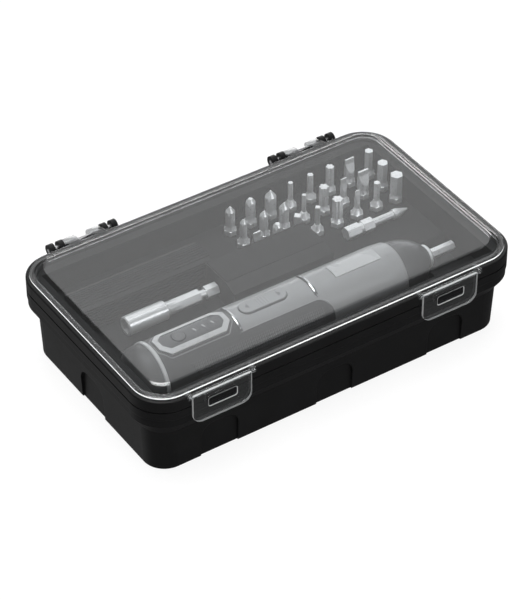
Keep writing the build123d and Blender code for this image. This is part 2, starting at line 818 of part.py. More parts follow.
with BuildPart() as handle_core:
    tube(cap_start, shell_end - 0.5, core_radius, core_inner)
    with BuildSketch(above_axis):
        with Locations((button_x, driver_y)):
            Circle(well_radius)
    extrude(amount=shell_radius + 2, mode=Mode.SUBTRACT)
save(handle_core.part, "handle_core")


def cut_at_grip(mode):
    """Keep or remove what the grips cover, forward of the light panel's rear edge."""
    with BuildSketch(grip_plane) as side_view:
        with BuildLine():
            left = Line((panel_start, driver_z - grip_radius - 1), (panel_start, driver_z + grip_top))
            top = Line(left @ 1, (grip_end - grip_corner, driver_z + grip_top))
            corner = RadiusArc(top @ 1, (grip_end, driver_z + grip_top - grip_corner), grip_corner)
            front = Line(corner @ 1, (grip_end, driver_z - grip_radius - 1))
            Line(front @ 1, left @ 0)
        make_face()
    extrude(side_view.sketch, amount=2 * grip_radius + 2, mode=mode)


with BuildPart() as grip_sleeve:
    tube(panel_start, grip_end, grip_radius, skin_radius)
    cut_at_grip(Mode.INTERSECT)
    tube(cap_start + ring_width, panel_start, grip_radius, skin_radius)
    with BuildSketch(above_axis):
        with Locations((button_x, driver_y)):
            Circle(well_radius)
    extrude(amount=shell_radius + 2, mode=Mode.SUBTRACT)
save(grip_sleeve.part, "grip_sleeve")

with BuildPart() as front_shell:
    turned([
        (panel_start, skin_radius),
        (panel_start, shell_radius),
        (shell_end - 8, shell_radius),
        (shell_end - 1, shell_nose_radius),
        (shell_end, shell_nose_radius - 0.8),
        (shell_end, skin_radius),
    ])
    cut_at_grip(Mode.SUBTRACT)
    with BuildSketch(above_axis):
        with Locations((rocker_x, driver_y)):
            SlotOverall(*rocker_well)
    extrude(amount=shell_radius + 2, mode=Mode.SUBTRACT)
save(front_shell.part, "front_shell")

with BuildPart() as rear_ring:
    tube(cap_start, cap_start + ring_width, ring_radius, skin_radius)
    chamfer(rear_ring.faces().filter_by(GeomType.CYLINDER).sort_by(SortBy.AREA)[-1].edges(), length=0.4)
save(rear_ring.part, "rear_ring")

cap_round = 8.0
with BuildPart() as rear_cap:
    tube(cap_end, cap_start, grip_radius, 0)
    fillet(rear_cap.edges().filter_by(GeomType.CIRCLE).group_by(Axis.X)[0], radius=cap_round)
    tube(cap_end + 2.5, cap_start, core_inner, 0, mode=Mode.SUBTRACT)
save(rear_cap.part, "rear_cap")

# control frame and its dark window, both curved to the grip
with BuildPart() as control_frame:
    tube(frame_start, frame_end, grip_radius + frame_thickness, grip_radius)
    with BuildSketch(above_axis):
        panel_outline(frame_start, frame_end, frame_half_width, frame_corner)
        panel_outline(
            frame_start + frame_border, frame_end - frame_border,
            frame_half_width - frame_border, frame_corner - frame_border / 2, mode=Mode.SUBTRACT,
        )
    extrude(amount=grip_radius + 4, mode=Mode.INTERSECT)
save(control_frame.part, "control_frame")

with BuildPart() as control_window:
    tube(frame_start, frame_end, grip_radius + frame_thickness / 2, grip_radius)
    with BuildSketch(above_axis):
        panel_outline(
            frame_start + frame_border, frame_end - frame_border,
            frame_half_width - frame_border, frame_corner - frame_border / 2,
        )
        with Locations((button_x, driver_y)):
            Circle(button_radius + button_gap, mode=Mode.SUBTRACT)
    extrude(amount=grip_radius + 4, mode=Mode.INTERSECT)
save(control_window.part, "control_window")

button_foot = driver_z + core_inner - 0.5
with BuildPart() as power_button:
    with BuildSketch(plan(button_foot)):
        with Locations((button_x, driver_y)):
            Circle(button_radius)
    extrude(amount=driver_z + grip_radius + frame_thickness - button_foot)
    fillet(power_button.edges().group_by(Axis.Z)[-1], radius=0.5)
save(power_button.part, "power_button")

rocker_foot = driver_z + core_radius + rocker_clearance
keel_z = driver_z + core_radius + skin_gap + rocker_keel
with BuildPart() as direction_rocker:
    with BuildSketch(plan(rocker_foot)):
        with Locations((rocker_x, driver_y)):
            SlotOverall(rocker_length, rocker_width)
    extrude(amount=driver_z + shell_radius + rocker_proud - rocker_foot)
    fillet(direction_rocker.edges().group_by(Axis.Z)[-1], radius=0.5)
    with BuildSketch(Plane(origin=(rocker_x, driver_y + rocker_width / 2, keel_z), z_dir=(0, -1, 0))):
        Circle(rocker_keel)
    extrude(amount=rocker_width)
save(direction_rocker.part, "direction_rocker")

with BuildPart() as trim_arcs:
    for trim_x in trim_positions:
        tube(trim_x - trim_width / 2, trim_x + trim_width / 2, grip_radius + trim_proud, grip_radius)
    with BuildSketch(above_axis):
        for trim_x in trim_positions:
            with Locations((trim_x, driver_y)):
                SlotOverall(2 * trim_half_width, trim_width, rotation=90)
    extrude(amount=grip_radius + 4, mode=Mode.INTERSECT)
save(trim_arcs.part, "trim_arcs")

with BuildPart() as name_plate:
    tube(plate_start, plate_end, shell_radius + plate_thickness, shell_radius)
    with BuildSketch(above_axis):
        with Locations(((plate_start + plate_end) / 2, driver_y)):
            Rectangle(plate_end - plate_start, 2 * plate_half_width)
    extrude(amount=shell_radius + 4, mode=Mode.INTERSECT)
save(name_plate.part, "name_plate")

# ================================================================ driver: nose and chuck
collar_back = shell_end - 4.0
with BuildPart() as nose_collar:
    with BuildSketch(along(driver_y)):
        with BuildLine():
            outer_start = (shell_end, driver_z + shell_nose_radius - 1.2)
            outer_end = (nose_end, driver_z + nose_radius)
            outer = RadiusArc(outer_start, outer_end, 26.0)
            front = Line(outer_end, (nose_end, driver_z + spindle_radius + spindle_gap))
            bearing_back = (nose_end - 4.5, driver_z + spindle_radius + spindle_gap)
            land = Line(front @ 1, bearing_back)
            step = Line(land @ 1, (nose_end - 4.5, driver_z + nose_radius + 0.5))
            hollow = (shell_end + bearing_width, driver_z + bearing_radius)
            inner = Line(step @ 1, hollow)
            seat = Line(inner @ 1, (collar_back, driver_z + bearing_radius))
            back = Line(seat @ 1, (collar_back, driver_z + core_inner))
            socket = Line(back @ 1, (shell_end, driver_z + core_inner))
            Line(socket @ 1, outer_start)
        make_face()
    revolve(axis=driver_axis)
save(nose_collar.part, "nose_collar")

with BuildPart() as nose_ring:
    tube(nose_end, nose_end + light_ring_width, nose_radius, spindle_radius + 0.1)
    chamfer(nose_ring.edges().group_by(Axis.X)[-1].sort_by(SortBy.LENGTH)[-1], length=0.4)
save(nose_ring.part, "nose_ring")

with BuildPart() as spindle_bearing:
    tube(shell_end - 1.0, shell_end + bearing_width - 1.0, bearing_radius, spindle_radius + spindle_gap)
save(spindle_bearing.part, "spindle_bearing")

# ================================================================ driver: works
with BuildPart() as battery_cell:
    tube(battery_start, battery_start + battery_length, battery_radius, 0)
    fillet(battery_cell.edges(), radius=0.8)
    tube(battery_start + battery_length, battery_start + battery_length + 0.8, 3.2, 0)
save(battery_cell.part, "battery_cell")

board_z = driver_z + battery_radius + 0.8
with BuildPart() as control_board:
    with BuildSketch(plan(board_z)):
        with Locations((battery_start + battery_length / 2, driver_y)):
            Rectangle(battery_length - board_setback, 2 * board_half_width)
    extrude(amount=board_thickness)
    with BuildSketch(plan(board_z + board_thickness)):
        with Locations((button_x, driver_y)):
            Rectangle(4.0, 4.0)
    extrude(amount=button_foot - button_travel - 0.2 - board_z - board_thickness)
save(control_board.part, "control_board")

motor_end = motor_start + motor_length
with BuildPart() as motor:
    tube(motor_start, motor_end, motor_radius, 0)
    fillet(motor.edges().group_by(Axis.X)[0], radius=1.0)
    tube(motor_start + 4, motor_end, shaft_radius + shaft_gap, 0, mode=Mode.SUBTRACT)
save(motor.part, "motor")

gear_end = gear_start + gear_width
sun_radius = gear_module * sun_teeth / 2
planet_radius = gear_module * planet_teeth / 2
orbit_radius = sun_radius + planet_radius
ring_teeth = sun_teeth + 2 * planet_teeth
ring_pitch_radius = gear_module * ring_teeth / 2


def gear_points(teeth, tip, root, share, first_angle):
    """Outline of a gear with straight-flanked teeth, as (y, z) points about its own centre."""
    points = []
    for i in range(teeth):
        middle = first_angle + 2 * pi * i / teeth
        for radius, offset in ((root, -0.33), (tip, -share / 2), (tip, share / 2), (root, 0.33)):
            angle = middle + offset * 2 * pi / teeth
            points.append((radius * cos(angle), radius * sin(angle)))
    return points


with BuildPart() as motor_pinion:
    with BuildSketch(across(gear_start)):
        Polygon(*gear_points(
            sun_teeth, sun_radius + 0.75 * gear_module, sun_radius - 1.15 * gear_module, 0.2, 0,
        ), align=None)
    extrude(amount=gear_width)
    tube(motor_start + 5, gear_start, shaft_radius, 0)
save(motor_pinion.part, "motor_pinion")

with BuildPart() as ring_gear:
    with BuildSketch(across(gear_start - 0.5)):
        Circle(core_inner)
        Polygon(*gear_points(
            ring_teeth, ring_pitch_radius + 1.15 * gear_module,
            ring_pitch_radius - 0.7 * gear_module, 0.64, pi / ring_teeth,
        ), align=None, mode=Mode.SUBTRACT)
    extrude(amount=gear_width + 1)
save(ring_gear.part, "ring_gear")

carrier_start = gear_end + gear_side_gap
with BuildPart() as planet_carrier:
    tube(carrier_start, carrier_start + carrier_thickness, carrier_radius, 0)
    tube(carrier_start, spindle_end, spindle_radius, 0)
    for i in range(planet_count):
        angle = 2 * pi * i / planet_count
        with BuildSketch(across(gear_start)):
            with Locations((orbit_radius * cos(angle), orbit_radius * sin(angle))):
                Circle(planet_pin_radius)
        extrude(amount=carrier_start - gear_start)
    with BuildSketch(across(spindle_end - chuck_depth)):
        RegularPolygon(bit_flats / 2 + socket_gap / 2, 6, major_radius=False)
    extrude(amount=chuck_depth, mode=Mode.SUBTRACT)
    tube(spindle_end - chuck_depth - magnet_length, spindle_end, magnet_radius, 0, mode=Mode.SUBTRACT)
save(planet_carrier.part, "planet_carrier")

for i in range(planet_count):
    angle = 2 * pi * i / planet_count
    centre_y = driver_y + orbit_radius * cos(angle)
    centre_z = driver_z + orbit_radius * sin(angle)
    with BuildPart() as planet_gear:
        with BuildSketch(across(gear_start + 0.2, centre_y, centre_z)):
            Polygon(*gear_points(
                planet_teeth, planet_radius + 0.75 * gear_module,
                planet_radius - 1.15 * gear_module, 0.2, pi / planet_teeth,
            ), align=None)
            Circle(planet_pin_radius + spindle_gap, mode=Mode.SUBTRACT)
        extrude(amount=gear_width - 0.2)
    save(planet_gear.part, f"planet_gear_{i + 1}")

with BuildPart() as chuck_magnet:
    tube(spindle_end - chuck_depth - magnet_length, spindle_end - chuck_depth, magnet_radius, 0)
save(chuck_magnet.part, "chuck_magnet")

fitted_foot = spindle_end - chuck_depth
with BuildPart() as fitted_bit:
    with BuildSketch(across(fitted_foot)):
        RegularPolygon(bit_flats / 2, 6, major_radius=False)
    extrude(amount=chuck_depth + 0.6)
    with BuildSketch(across(spindle_end)):
        RegularPolygon(fitted_bit_flats / 2, 6, major_radius=False)
    extrude(amount=fitted_bit_proud)
save(fitted_bit.part, "fitted_bit")
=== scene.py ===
"""Cordless screwdriver and bit set in a clear-lidded case: finishes, fine pieces and stage.

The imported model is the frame. Its nodes keep their place and shape and get their finishes
here; the lid, the latches, the grips' hatching and the driver's trim are finer pieces.
"""
from math import cos, pi, radians, sin, sqrt

import bmesh
import bpy
import numpy as np
from mathutils import Matrix, Vector


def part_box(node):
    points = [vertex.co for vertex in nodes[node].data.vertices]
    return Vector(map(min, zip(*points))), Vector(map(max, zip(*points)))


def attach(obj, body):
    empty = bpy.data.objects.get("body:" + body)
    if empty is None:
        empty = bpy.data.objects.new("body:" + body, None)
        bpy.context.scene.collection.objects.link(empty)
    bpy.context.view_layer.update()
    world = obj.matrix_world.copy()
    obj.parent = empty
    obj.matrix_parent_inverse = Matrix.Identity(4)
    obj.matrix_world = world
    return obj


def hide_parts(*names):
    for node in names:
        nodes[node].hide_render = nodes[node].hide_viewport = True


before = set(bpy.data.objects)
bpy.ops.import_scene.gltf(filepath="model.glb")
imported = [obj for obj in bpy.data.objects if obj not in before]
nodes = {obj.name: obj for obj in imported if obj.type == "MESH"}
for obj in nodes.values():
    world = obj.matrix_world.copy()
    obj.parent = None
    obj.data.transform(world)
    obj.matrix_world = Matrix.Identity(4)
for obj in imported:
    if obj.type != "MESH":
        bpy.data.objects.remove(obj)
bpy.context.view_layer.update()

bl_info = {
    "name": "Screwdriver set",
    "version": (1, 0, 0),
    "blender": (4, 5, 0),
    "location": "View3D > Sidebar > Screwdriver set",
    "description": "Finishes and fine pieces of a cordless screwdriver set in its case",
    "category": "Object",
}

MM = 0.001


def box(node):
    """Lowest and highest corner of a CAD node, as two arrays in metres."""
    low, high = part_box(node)
    return np.array(low), np.array(high)


def middle(node):
    """Centre of a CAD node's box, in metres."""
    low, high = box(node)
    return (low + high) / 2


lid_high = box("case_lid")[1]
sleeve_low, sleeve_high = box("grip_sleeve")
grip_radius = (sleeve_high[1] - sleeve_low[1]) / 2
axis_y, axis_z = middle("rear_ring")[1:]


# ================================================================ settings
def length(label, default_mm, description):
    """A size in metres with a default in millimetres."""
    return bpy.props.FloatProperty(
        name=label, description=description, default=default_mm * MM,
        min=0.0, subtype="DISTANCE", unit="LENGTH", precision=5)


def angle(label, default_degrees, description):
    """An angle with a default in degrees."""
    return bpy.props.FloatProperty(
        name=label, description=description, default=radians(default_degrees), subtype="ANGLE")


def colour(label, default, description):
    """A linear colour."""
    return bpy.props.FloatVectorProperty(
        name=label, description=description, default=default,
        size=3, min=0.0, max=1.0, subtype="COLOR")


def share(label, default, description):
    """A plain number from 0 to 1."""
    return bpy.props.FloatProperty(
        name=label, description=description, default=default, min=0.0, max=1.0)


class LidSizes(bpy.types.PropertyGroup):
    """Sizes of the clear lid."""
    rim_width: length("Rim width", 131.0, "Outside of the case's rim, front to back")
    corner: length("Rim corner", 18.5, "Corner of the case's rim, seen from above")
    inset: length("Inset", 2.0, "How much of the rim shows round the lid")
    flange: length("Flange", 2.6, "Flat border of the lid")
    slope: length("Slope", 4.3, "Width of the slope up to the panel")
    rise: length("Rise", 3.2, "Height of the panel above the flange")
    flange_thickness: length("Flange thickness", 1.6, "Thickness of the flat border")
    wall: length("Wall", 1.8, "Thickness of the panel")
    tongue_inset: length("Tongue inset", 3.3, "Outside of the tongue from the rim's outside")
    tongue_wall: length("Tongue wall", 1.4, "Thickness of the tongue")
    tongue_depth: length("Tongue depth", 2.7, "How far the tongue drops inside the rim")
    edge: length("Edge round", 0.45, "Radius of the lid's outer edges")
    arm_lap: length("Arm lap", 1.0, "How far knuckles and lugs lap over the flange")
    hinge_offset: length("Hinge offset", 67.5, "Middle of a hinge from the middle of both")
    knuckle_near: length("Knuckle start", 3.6, "Near face of a knuckle from its hinge's middle")
    knuckle_far: length("Knuckle end", 11.0, "Far face of a knuckle from its hinge's middle")
    knuckle_edge: length("Knuckle edge", 0.4, "Radius of a knuckle's edges")
    lug_near: length("Lug start", 17.0, "Near face of a lug from its latch's middle")
    lug_far: length("Lug end", 19.2, "Far face of a lug from its latch's middle")
    lug_edge: length("Lug edge", 0.3, "Radius of a lug's edges")
    lug_radius: length("Lug radius", 1.35, "Round nose of a lug, about the pivot")
    pivot_proud: length("Pivot reach", 1.6, "Pivot in front of the case's rim")
    pivot_drop: length("Pivot drop", 1.1, "Pivot below the top of the flange")


class LatchSizes(bpy.types.PropertyGroup):
    """Sizes of the clear latches."""
    width: length("Width", 33.4, "Width of the plate")
    upper_corner: length("Upper corner", 0.6, "Radius of a latch's upper corners")
    lower_corner: length("Lower corner", 5.5, "Radius of a latch's lower corners")
    slot_width: length("Slot width", 16.0, "Slot that takes the catch")
    slot_height: length("Slot height", 5.0, "Slot that takes the catch")
    slot_drop: length("Slot drop", 7.2, "Middle of the slot below the pivot")
    slot_corner: length("Slot corner", 1.0, "Radius of the slot's corners")
    thickness: length("Thickness", 1.8, "Thickness of the plate")
    edge: length("Edge round", 0.35, "Radius of the latch's edges")
    barrel: length("Barrel", 1.2, "Radius of the barrel along the plate's top")
    pin: length("Pin", 0.9, "Radius of the pins that turn in the lugs")


class DriverSizes(bpy.types.PropertyGroup):
    """Sizes of the driver's hatching and trim."""
    hatch_from: angle("Hatch start", 53.0, "Upper edge of the hatching, round from the top")
    hatch_to: angle("Hatch end", 122.0, "Lower edge of the hatching, round from the top")
    hatch_rear: length("Hatch rear", 12.0, "Hatching from the grip's rear end")
    hatch_front: length("Hatch front", 5.0, "Hatching from the grip's front end")
    hatch_pitch: length("Hatch pitch", 1.5, "Spacing of the hatching along the grip")
    hatch_row: length("Hatch row", 1.55, "Width of one row of hatching round the grip")
    hatch_height: length("Hatch height", 0.45, "How far the hatching stands out")
    bar_width: length("Bar width", 2.2, "Width of a chrome bar")
    bar_height: length("Bar height", 0.78, "How far a chrome bar stands out")
    bar_inset: length("Bar inset", 0.9, "Middle of a bar from its trim's end")
    seam: length("Seam", 0.20, "Radius of the light bead round the grips")
    seam_height: length("Seam height", 12.8, "Bead along the grip, above the driver's axis")
    seam_corner: length("Seam corner", 9.0, "Round of the bead at the grip's front")
    lip_gap: length("Lip gap", 1.2, "Lip outside the control frame")
    lip_cut: length("Lip cut", 5.0, "Cut corners of the lip")


class Finishes(bpy.types.PropertyGroup):
    """Colours of the set."""
    case_black: colour("Case", (0.0075, 0.0075, 0.0078), "Moulded case")
    tray_black: colour("Tray", (0.0065, 0.0065, 0.0068), "Moulded tray")
    rubber: colour("Grip", (0.030, 0.030, 0.031), "Rubber of the grips")
    shell: colour("Shell", (0.27, 0.27, 0.273), "Light shell of the driver")
    plate: colour("Name plate", (0.44, 0.44, 0.443), "Blank plate on the shell")
    window: colour("Window", (0.075, 0.075, 0.078), "Dark control window")
    rocker: colour("Rocker", (0.27, 0.27, 0.275), "Direction rocker")
    nose: colour("Nose", (0.060, 0.060, 0.062), "Nose collar")
    steel: colour("Steel", (0.86, 0.86, 0.865), "Bits and holder")
    clear: colour("Clear", (0.97, 0.98, 0.985), "Clear plastic")
    wear: share("Wear", 0.5, "How much the moulded surfaces vary")


# ================================================================ shader maths
class Signal:
    """A socket that carries a number. Arithmetic on it adds Math nodes."""

    def __init__(self, finish, socket):
        self.finish, self.socket = finish, socket

    def maths(self, operation, *others):
        made = self.finish.add("ShaderNodeMath", {"operation": operation}, list(others))
        return Signal(self.finish, made.outputs[0])

    def __add__(self, other):
        return self.maths("ADD", self, other)

    def __radd__(self, other):
        return self.maths("ADD", other, self)

    def __sub__(self, other):
        return self.maths("SUBTRACT", self, other)

    def __rsub__(self, other):
        return self.maths("SUBTRACT", other, self)

    def __mul__(self, other):
        return self.maths("MULTIPLY", self, other)

    def __rmul__(self, other):
        return self.maths("MULTIPLY", other, self)

    def __abs__(self):
        return self.maths("ABSOLUTE", self)

    def __pow__(self, other):
        return self.maths("POWER", self, other)

    def sine(self):
        return self.maths("SINE", self)

    def larger(self, other):
        return self.maths("MAXIMUM", self, other)

    def below(self, edge, soft):
        """1 where this is under edge, falling to 0 over soft."""
        made = self.finish.add(
            "ShaderNodeMapRange", {"interpolation_type": "SMOOTHSTEP"},
            {"Value": self, "From Min": edge, "From Max": edge + soft, "To Min": 1.0, "To Max": 0.0})
        return Signal(self.finish, made.outputs["Result"])


class Shading:
    """A node tree that gets its nodes here, on Object coordinates in millimetres."""

    def __init__(self, tree):
        self.tree = tree
        self.tree.nodes.clear()
        self.spots = {}

    def add(self, kind, set_first=None, inputs=None):
        """Adds a node: its settings first, then the values or links of its sockets."""
        made = self.tree.nodes.new(kind)
        for key, value in (set_first or {}).items():
            setattr(made, key, value)
        pairs = enumerate(inputs) if isinstance(inputs, list) else (inputs or {}).items()
        for key, value in pairs:
            self.feed(made.inputs[key], value)
        return made

    def feed(self, socket, value):
        """Links a socket or signal to an input, or sets the input to a plain value."""
        source = value.socket if isinstance(value, Signal) else value
        if isinstance(source, bpy.types.NodeSocket):
            self.tree.links.new(source, socket)
        elif hasattr(source, "__len__") and len(source) == 3 and socket.type == "RGBA":
            socket.default_value = (*source, 1.0)
        else:
            socket.default_value = source

    def place(self, stretch=(1.0, 1.0, 1.0)):
        """Object coordinates in millimetres, each stretched by its own share."""
        if stretch not in self.spots:
            spot = self.add("ShaderNodeTexCoord").outputs["Object"]
            scale = Vector(stretch) / MM
            self.spots[stretch] = self.add(
                "ShaderNodeVectorMath", {"operation": "MULTIPLY"}, [spot, tuple(scale)]).outputs[0]
        return self.spots[stretch]

    def axes(self):
        """X, Y and Z of the place, in millimetres."""
        split = self.add("ShaderNodeSeparateXYZ", None, [self.place()])
        return [Signal(self, split.outputs[i]) for i in range(3)]

    def noise(self, size_mm, detail=2.0, stretch=(1.0, 1.0, 1.0)):
        """Noise about 0.5 whose lumps are about size_mm across."""
        made = self.add("ShaderNodeTexNoise", None, {
            "Vector": self.place(stretch), "Scale": 1.0 / size_mm, "Detail": detail, "Roughness": 0.55})
        return Signal(self, made.outputs["Fac"])

    def mix(self, share_of_second, first, second):
        """A colour between two colours."""
        made = self.add("ShaderNodeMix", {"data_type": "RGBA"}, {0: share_of_second})
        self.feed(made.inputs[6], first)
        self.feed(made.inputs[7], second)
        return made.outputs[2]

    def tint(self, base, amount, size_mm):
        """The base colour, lighter and darker by amount over patches of a size."""
        lighter = tuple(min(1.0, c * (1 + amount)) for c in base)
        darker = tuple(c * (1 - amount) for c in base)
        patches = self.noise(size_mm, 3.0)
        return self.mix(patches, darker, lighter)

    def relief(self, height, depth_mm, rounded_mm=0.0):
        """Normal bent by a height map, over edges rounded in the shading."""
        inputs = {"Distance": depth_mm * MM, "Height": height}
        if rounded_mm:
            edge = self.add("ShaderNodeBevel", {"samples": 6}, {"Radius": rounded_mm * MM})
            inputs["Normal"] = edge.outputs[0]
        return self.add("ShaderNodeBump", None, inputs).outputs[0]


class Finish(Shading):
    """One procedural material."""

    def __init__(self, name):
        self.material = bpy.data.materials.new(name)
        self.material["finish"] = name
        self.material.use_nodes = True
        super().__init__(self.material.node_tree)
        self.output = self.tree.nodes.new("ShaderNodeOutputMaterial")

    def surface(self, **sockets):
        """Principled surface with these sockets. An underscore stands for a space."""
        shader = self.add("ShaderNodeBsdfPrincipled")
        for key, value in sockets.items():
            self.feed(shader.inputs[key.replace("_", " ")], value)
        self.tree.links.new(shader.outputs[0], self.output.inputs[0])
        return shader

    def over_clear(self, share_of_shader, tint, shader):
        """Keeps the shader for a share of the light, and lets the rest straight through."""
        through = self.add("ShaderNodeBsdfTransparent", None, {"Color": tint})
        either = self.add(
            "ShaderNodeMixShader", None, [share_of_shader, through.outputs[0], shader.outputs[0]])
        self.tree.links.new(either.outputs[0], self.output.inputs[0])


def moulded(name, base, roughness, grain_mm, grain_depth, rounded, wear, specular=0.5):
    """Moulded plastic: spark-textured, with soft patches of wear and scuffs."""
    finish = Finish(name)
    patches = finish.noise(22.0, 4.0)
    scuffs = finish.noise(3.0, 5.0, (0.35, 1.0, 1.0))
    grain = finish.noise(grain_mm, 2.0)
    finish.surface(
        Base_Color=finish.tint(base, 0.56 * wear, 14.0),
        Roughness=roughness + (patches - 0.5) * 0.14 * wear + (scuffs - 0.5) * 0.12 * wear,
        Specular_IOR_Level=specular,
        Normal=finish.relief(grain, grain_depth, rounded))
    return finish.material


def satin(name, base, roughness, coat, rounded, grain_depth=0.004):
    """Satin paint or fine plastic with a thin clear coat."""
    finish = Finish(name)
    flow = finish.noise(9.0, 3.0)
    grain = finish.noise(0.22, 2.0)
    finish.surface(
        Base_Color=finish.tint(base, 0.05, 18.0),
        Roughness=roughness + (flow - 0.5) * 0.08,
        Coat_Weight=coat, Coat_Roughness=0.18,
        Normal=finish.relief(grain, grain_depth, rounded))
    return finish.material


def drawn_metal(name, base, roughness, stretch, rounded=0.0, depth=0.004):
    """Satin-plated or drawn metal: fine lines along one direction and cloudy gloss."""
    finish = Finish(name)
    lines = finish.noise(0.16, 3.0, stretch)
    clouds = finish.noise(2.4, 3.0)
    finish.surface(
        Base_Color=finish.tint(base, 0.07, 3.0), Metallic=1.0,
        Roughness=roughness + (lines - 0.5) * 0.16 + (clouds - 0.5) * 0.10,
        Normal=finish.relief(lines, depth, rounded))
    return finish.material


def clear_plastic(name, tint, roughness):
    """Clear moulded plastic as a thin skin: it mirrors a little, more at a glancing view,
    and lets the rest of the light straight through."""
    finish = Finish(name)
    facing = finish.add("ShaderNodeLayerWeight", None, {"Blend": 0.5}).outputs["Facing"]
    glancing = Signal(finish, facing)
    flow = finish.noise(30.0, 1.0)
    mirror = finish.surface(
        Base_Color=(1.0, 1.0, 1.0), Metallic=1.0, Roughness=roughness, Normal=finish.relief(flow, 0.02))
    finish.over_clear(0.08 + 0.92 * glancing**5, tint, mirror)
    return finish.material


def clear_edge(name, cover, glow):
    """Edge of a clear moulding with painted glow: a whitish skin that gives off light of its own, in place
    of the light that the sheet carries to it.
    """
    finish = Finish(name)
    # patches make the painted glow uneven
    patches = finish.noise(6.0, 2.0)
    lit = finish.surface(
        Base_Color=(0.90, 0.91, 0.91), Roughness=0.25,
        Emission_Color=finish.mix(patches, (0.75, 0.76, 0.76), (1.0, 1.0, 1.0)), Emission_Strength=glow)
    finish.over_clear(cover, (0.97, 0.98, 0.98), lit)
    return finish.material


# ================================================================ surfaces
def mesh_piece(name, points, faces, material, smooth_angle=35.0):
    """Mesh object from an array of points and a list of faces, smooth but for its edges."""
    mesh = bpy.data.meshes.new(name)
    mesh.from_pydata(np.asarray(points, float).reshape(-1, 3).tolist(), [], faces)
    mesh.update()
    mesh.polygons.foreach_set("use_smooth", [True] * len(mesh.polygons))
    mesh.set_sharp_from_angle(angle=radians(smooth_angle))
    mesh.materials.append(material)
    piece = bpy.data.objects.new(name, mesh)
    bpy.context.scene.collection.objects.link(piece)
    return piece


def grid_faces(rows, columns, wrap_rows=False, wrap_columns=False, start=0, flip=False):
    """Quads over a grid of rows x columns points, wrapped round in either direction."""
    i, j = np.meshgrid(
        np.arange(rows if wrap_rows else rows - 1),
        np.arange(columns if wrap_columns else columns - 1), indexing="ij")
    up, right = (i + 1) % rows, (j + 1) % columns
    quads = np.stack([i * columns + j, i * columns + right, up * columns + right, up * columns + j], -1)
    quads = quads.reshape(-1, 4) + start
    return (quads[:, ::-1] if flip else quads).tolist()


def end_caps(rows, columns):
    """The two faces that close the first and last row of a grid wrapped along its rows."""
    last = (rows - 1) * columns
    return [list(range(columns)), [last + j for j in range(columns)][::-1]]


def second_finish(piece, picked, material):
    """Gives a piece's picked faces another finish. picked holds a truth value for each of
    the piece's first faces, as a grid of any shape; the faces after them keep their finish."""
    piece.data.materials.append(material)
    index = np.zeros(len(piece.data.polygons), np.int32)
    index[:picked.size] = picked.ravel()
    piece.data.polygons.foreach_set("material_index", index)
    return piece


def face_outwards(piece):
    """Turns every face of a closed piece to point away from its inside."""
    work = bmesh.new()
    work.from_mesh(piece.data)
    bmesh.ops.recalc_face_normals(work, faces=work.faces)
    work.to_mesh(piece.data)
    work.free()
    return piece


def even_shading(piece):
    """Lets large flat faces keep flat shading beside rounded edges."""
    weighted = piece.modifiers.new("Even shading", "WEIGHTED_NORMAL")
    weighted.keep_sharp = True
    return piece


def rounded_line(corners, radii, steps, closed):
    """Rounds a polyline's corners: each becomes a parabola between the points where a
    circle of its radius would touch, and all are worked out at once."""
    corners, radii = np.asarray(corners, float), np.asarray(radii, float)
    before, after = np.roll(corners, 1, 0) - corners, np.roll(corners, -1, 0) - corners
    if not closed:
        before[0], after[-1] = after[0], before[-1]
    before /= np.linalg.norm(before, axis=1)[:, None]
    after /= np.linalg.norm(after, axis=1)[:, None]
    opening = np.arccos(np.clip((before * after).sum(1), -1, 1))
    touch = (radii / np.tan(np.maximum(opening, 1e-3) / 2))[:, None]
    t = np.linspace(0, 1, steps)[None, :, None]
    start, end = (corners + before * touch)[:, None], (corners + after * touch)[:, None]
    bend = (1 - t) ** 2 * start + 2 * t * (1 - t) * corners[:, None] + t**2 * end
    keep = np.ones((len(corners), steps), bool)
    keep[radii <= 0, 1:] = False
    return bend[keep]


def plan_ring(half_x, half_y, radii, steps):
    """Rounded rectangle as one ring of points: each corner is a quarter circle about its
    own centre, counter-clockwise from the +X +Y corner. radii holds the four corners."""
    quarter = np.linspace(0, pi / 2, steps)[None, :]
    angle = quarter + np.arange(4)[:, None] * pi / 2
    radii = np.maximum(np.asarray(radii, float), 1e-5)[:, None]
    side_x, side_y = np.array([[1], [-1], [-1], [1]]), np.array([[1], [1], [-1], [-1]])
    x = side_x * (half_x - radii) + radii * np.cos(angle)
    y = side_y * (half_y - radii) + radii * np.sin(angle)
    return np.stack([x.ravel(), y.ravel()], -1)


def carried_round(profile, half_x, half_y, corner, steps):
    """A profile of (inset, height) points carried round a rounded rectangle: point (i, j)
    is the j-th point of the rectangle drawn in by the i-th inset, at the i-th height."""
    rings = [plan_ring(half_x - inset, half_y - inset, [corner - inset] * 4, steps) for inset, _ in profile]
    heights = np.repeat(np.asarray(profile)[:, 1], 4 * steps).reshape(len(profile), -1, 1)
    return np.concatenate([np.array(rings), heights], 2)


def prism(name, outline, x_start, x_end, edge, material):
    """An outline in (y, z) carried along X, its ends drawn in over the last bit of length
    so that their edges are rounded. Drawing in moves each point towards the middle."""
    outline = np.asarray(outline, float)
    centre = outline.mean(0)
    reach = np.linalg.norm(outline - centre, axis=1).max()
    turn = np.linspace(0, pi / 2, 4)
    x = np.concatenate([x_start + edge * (1 - np.cos(turn)), x_end - edge * (1 - np.cos(turn[::-1]))])
    drawn = 1 - edge / reach * (1 - np.sin(np.concatenate([turn, turn[::-1]])))
    rows = centre + (outline - centre)[None] * drawn[:, None, None]
    points = np.concatenate([np.repeat(x, len(outline)).reshape(len(x), -1, 1), rows], 2)
    faces = grid_faces(len(x), len(outline), wrap_columns=True) + end_caps(len(x), len(outline))
    return face_outwards(mesh_piece(name, points, faces, material))


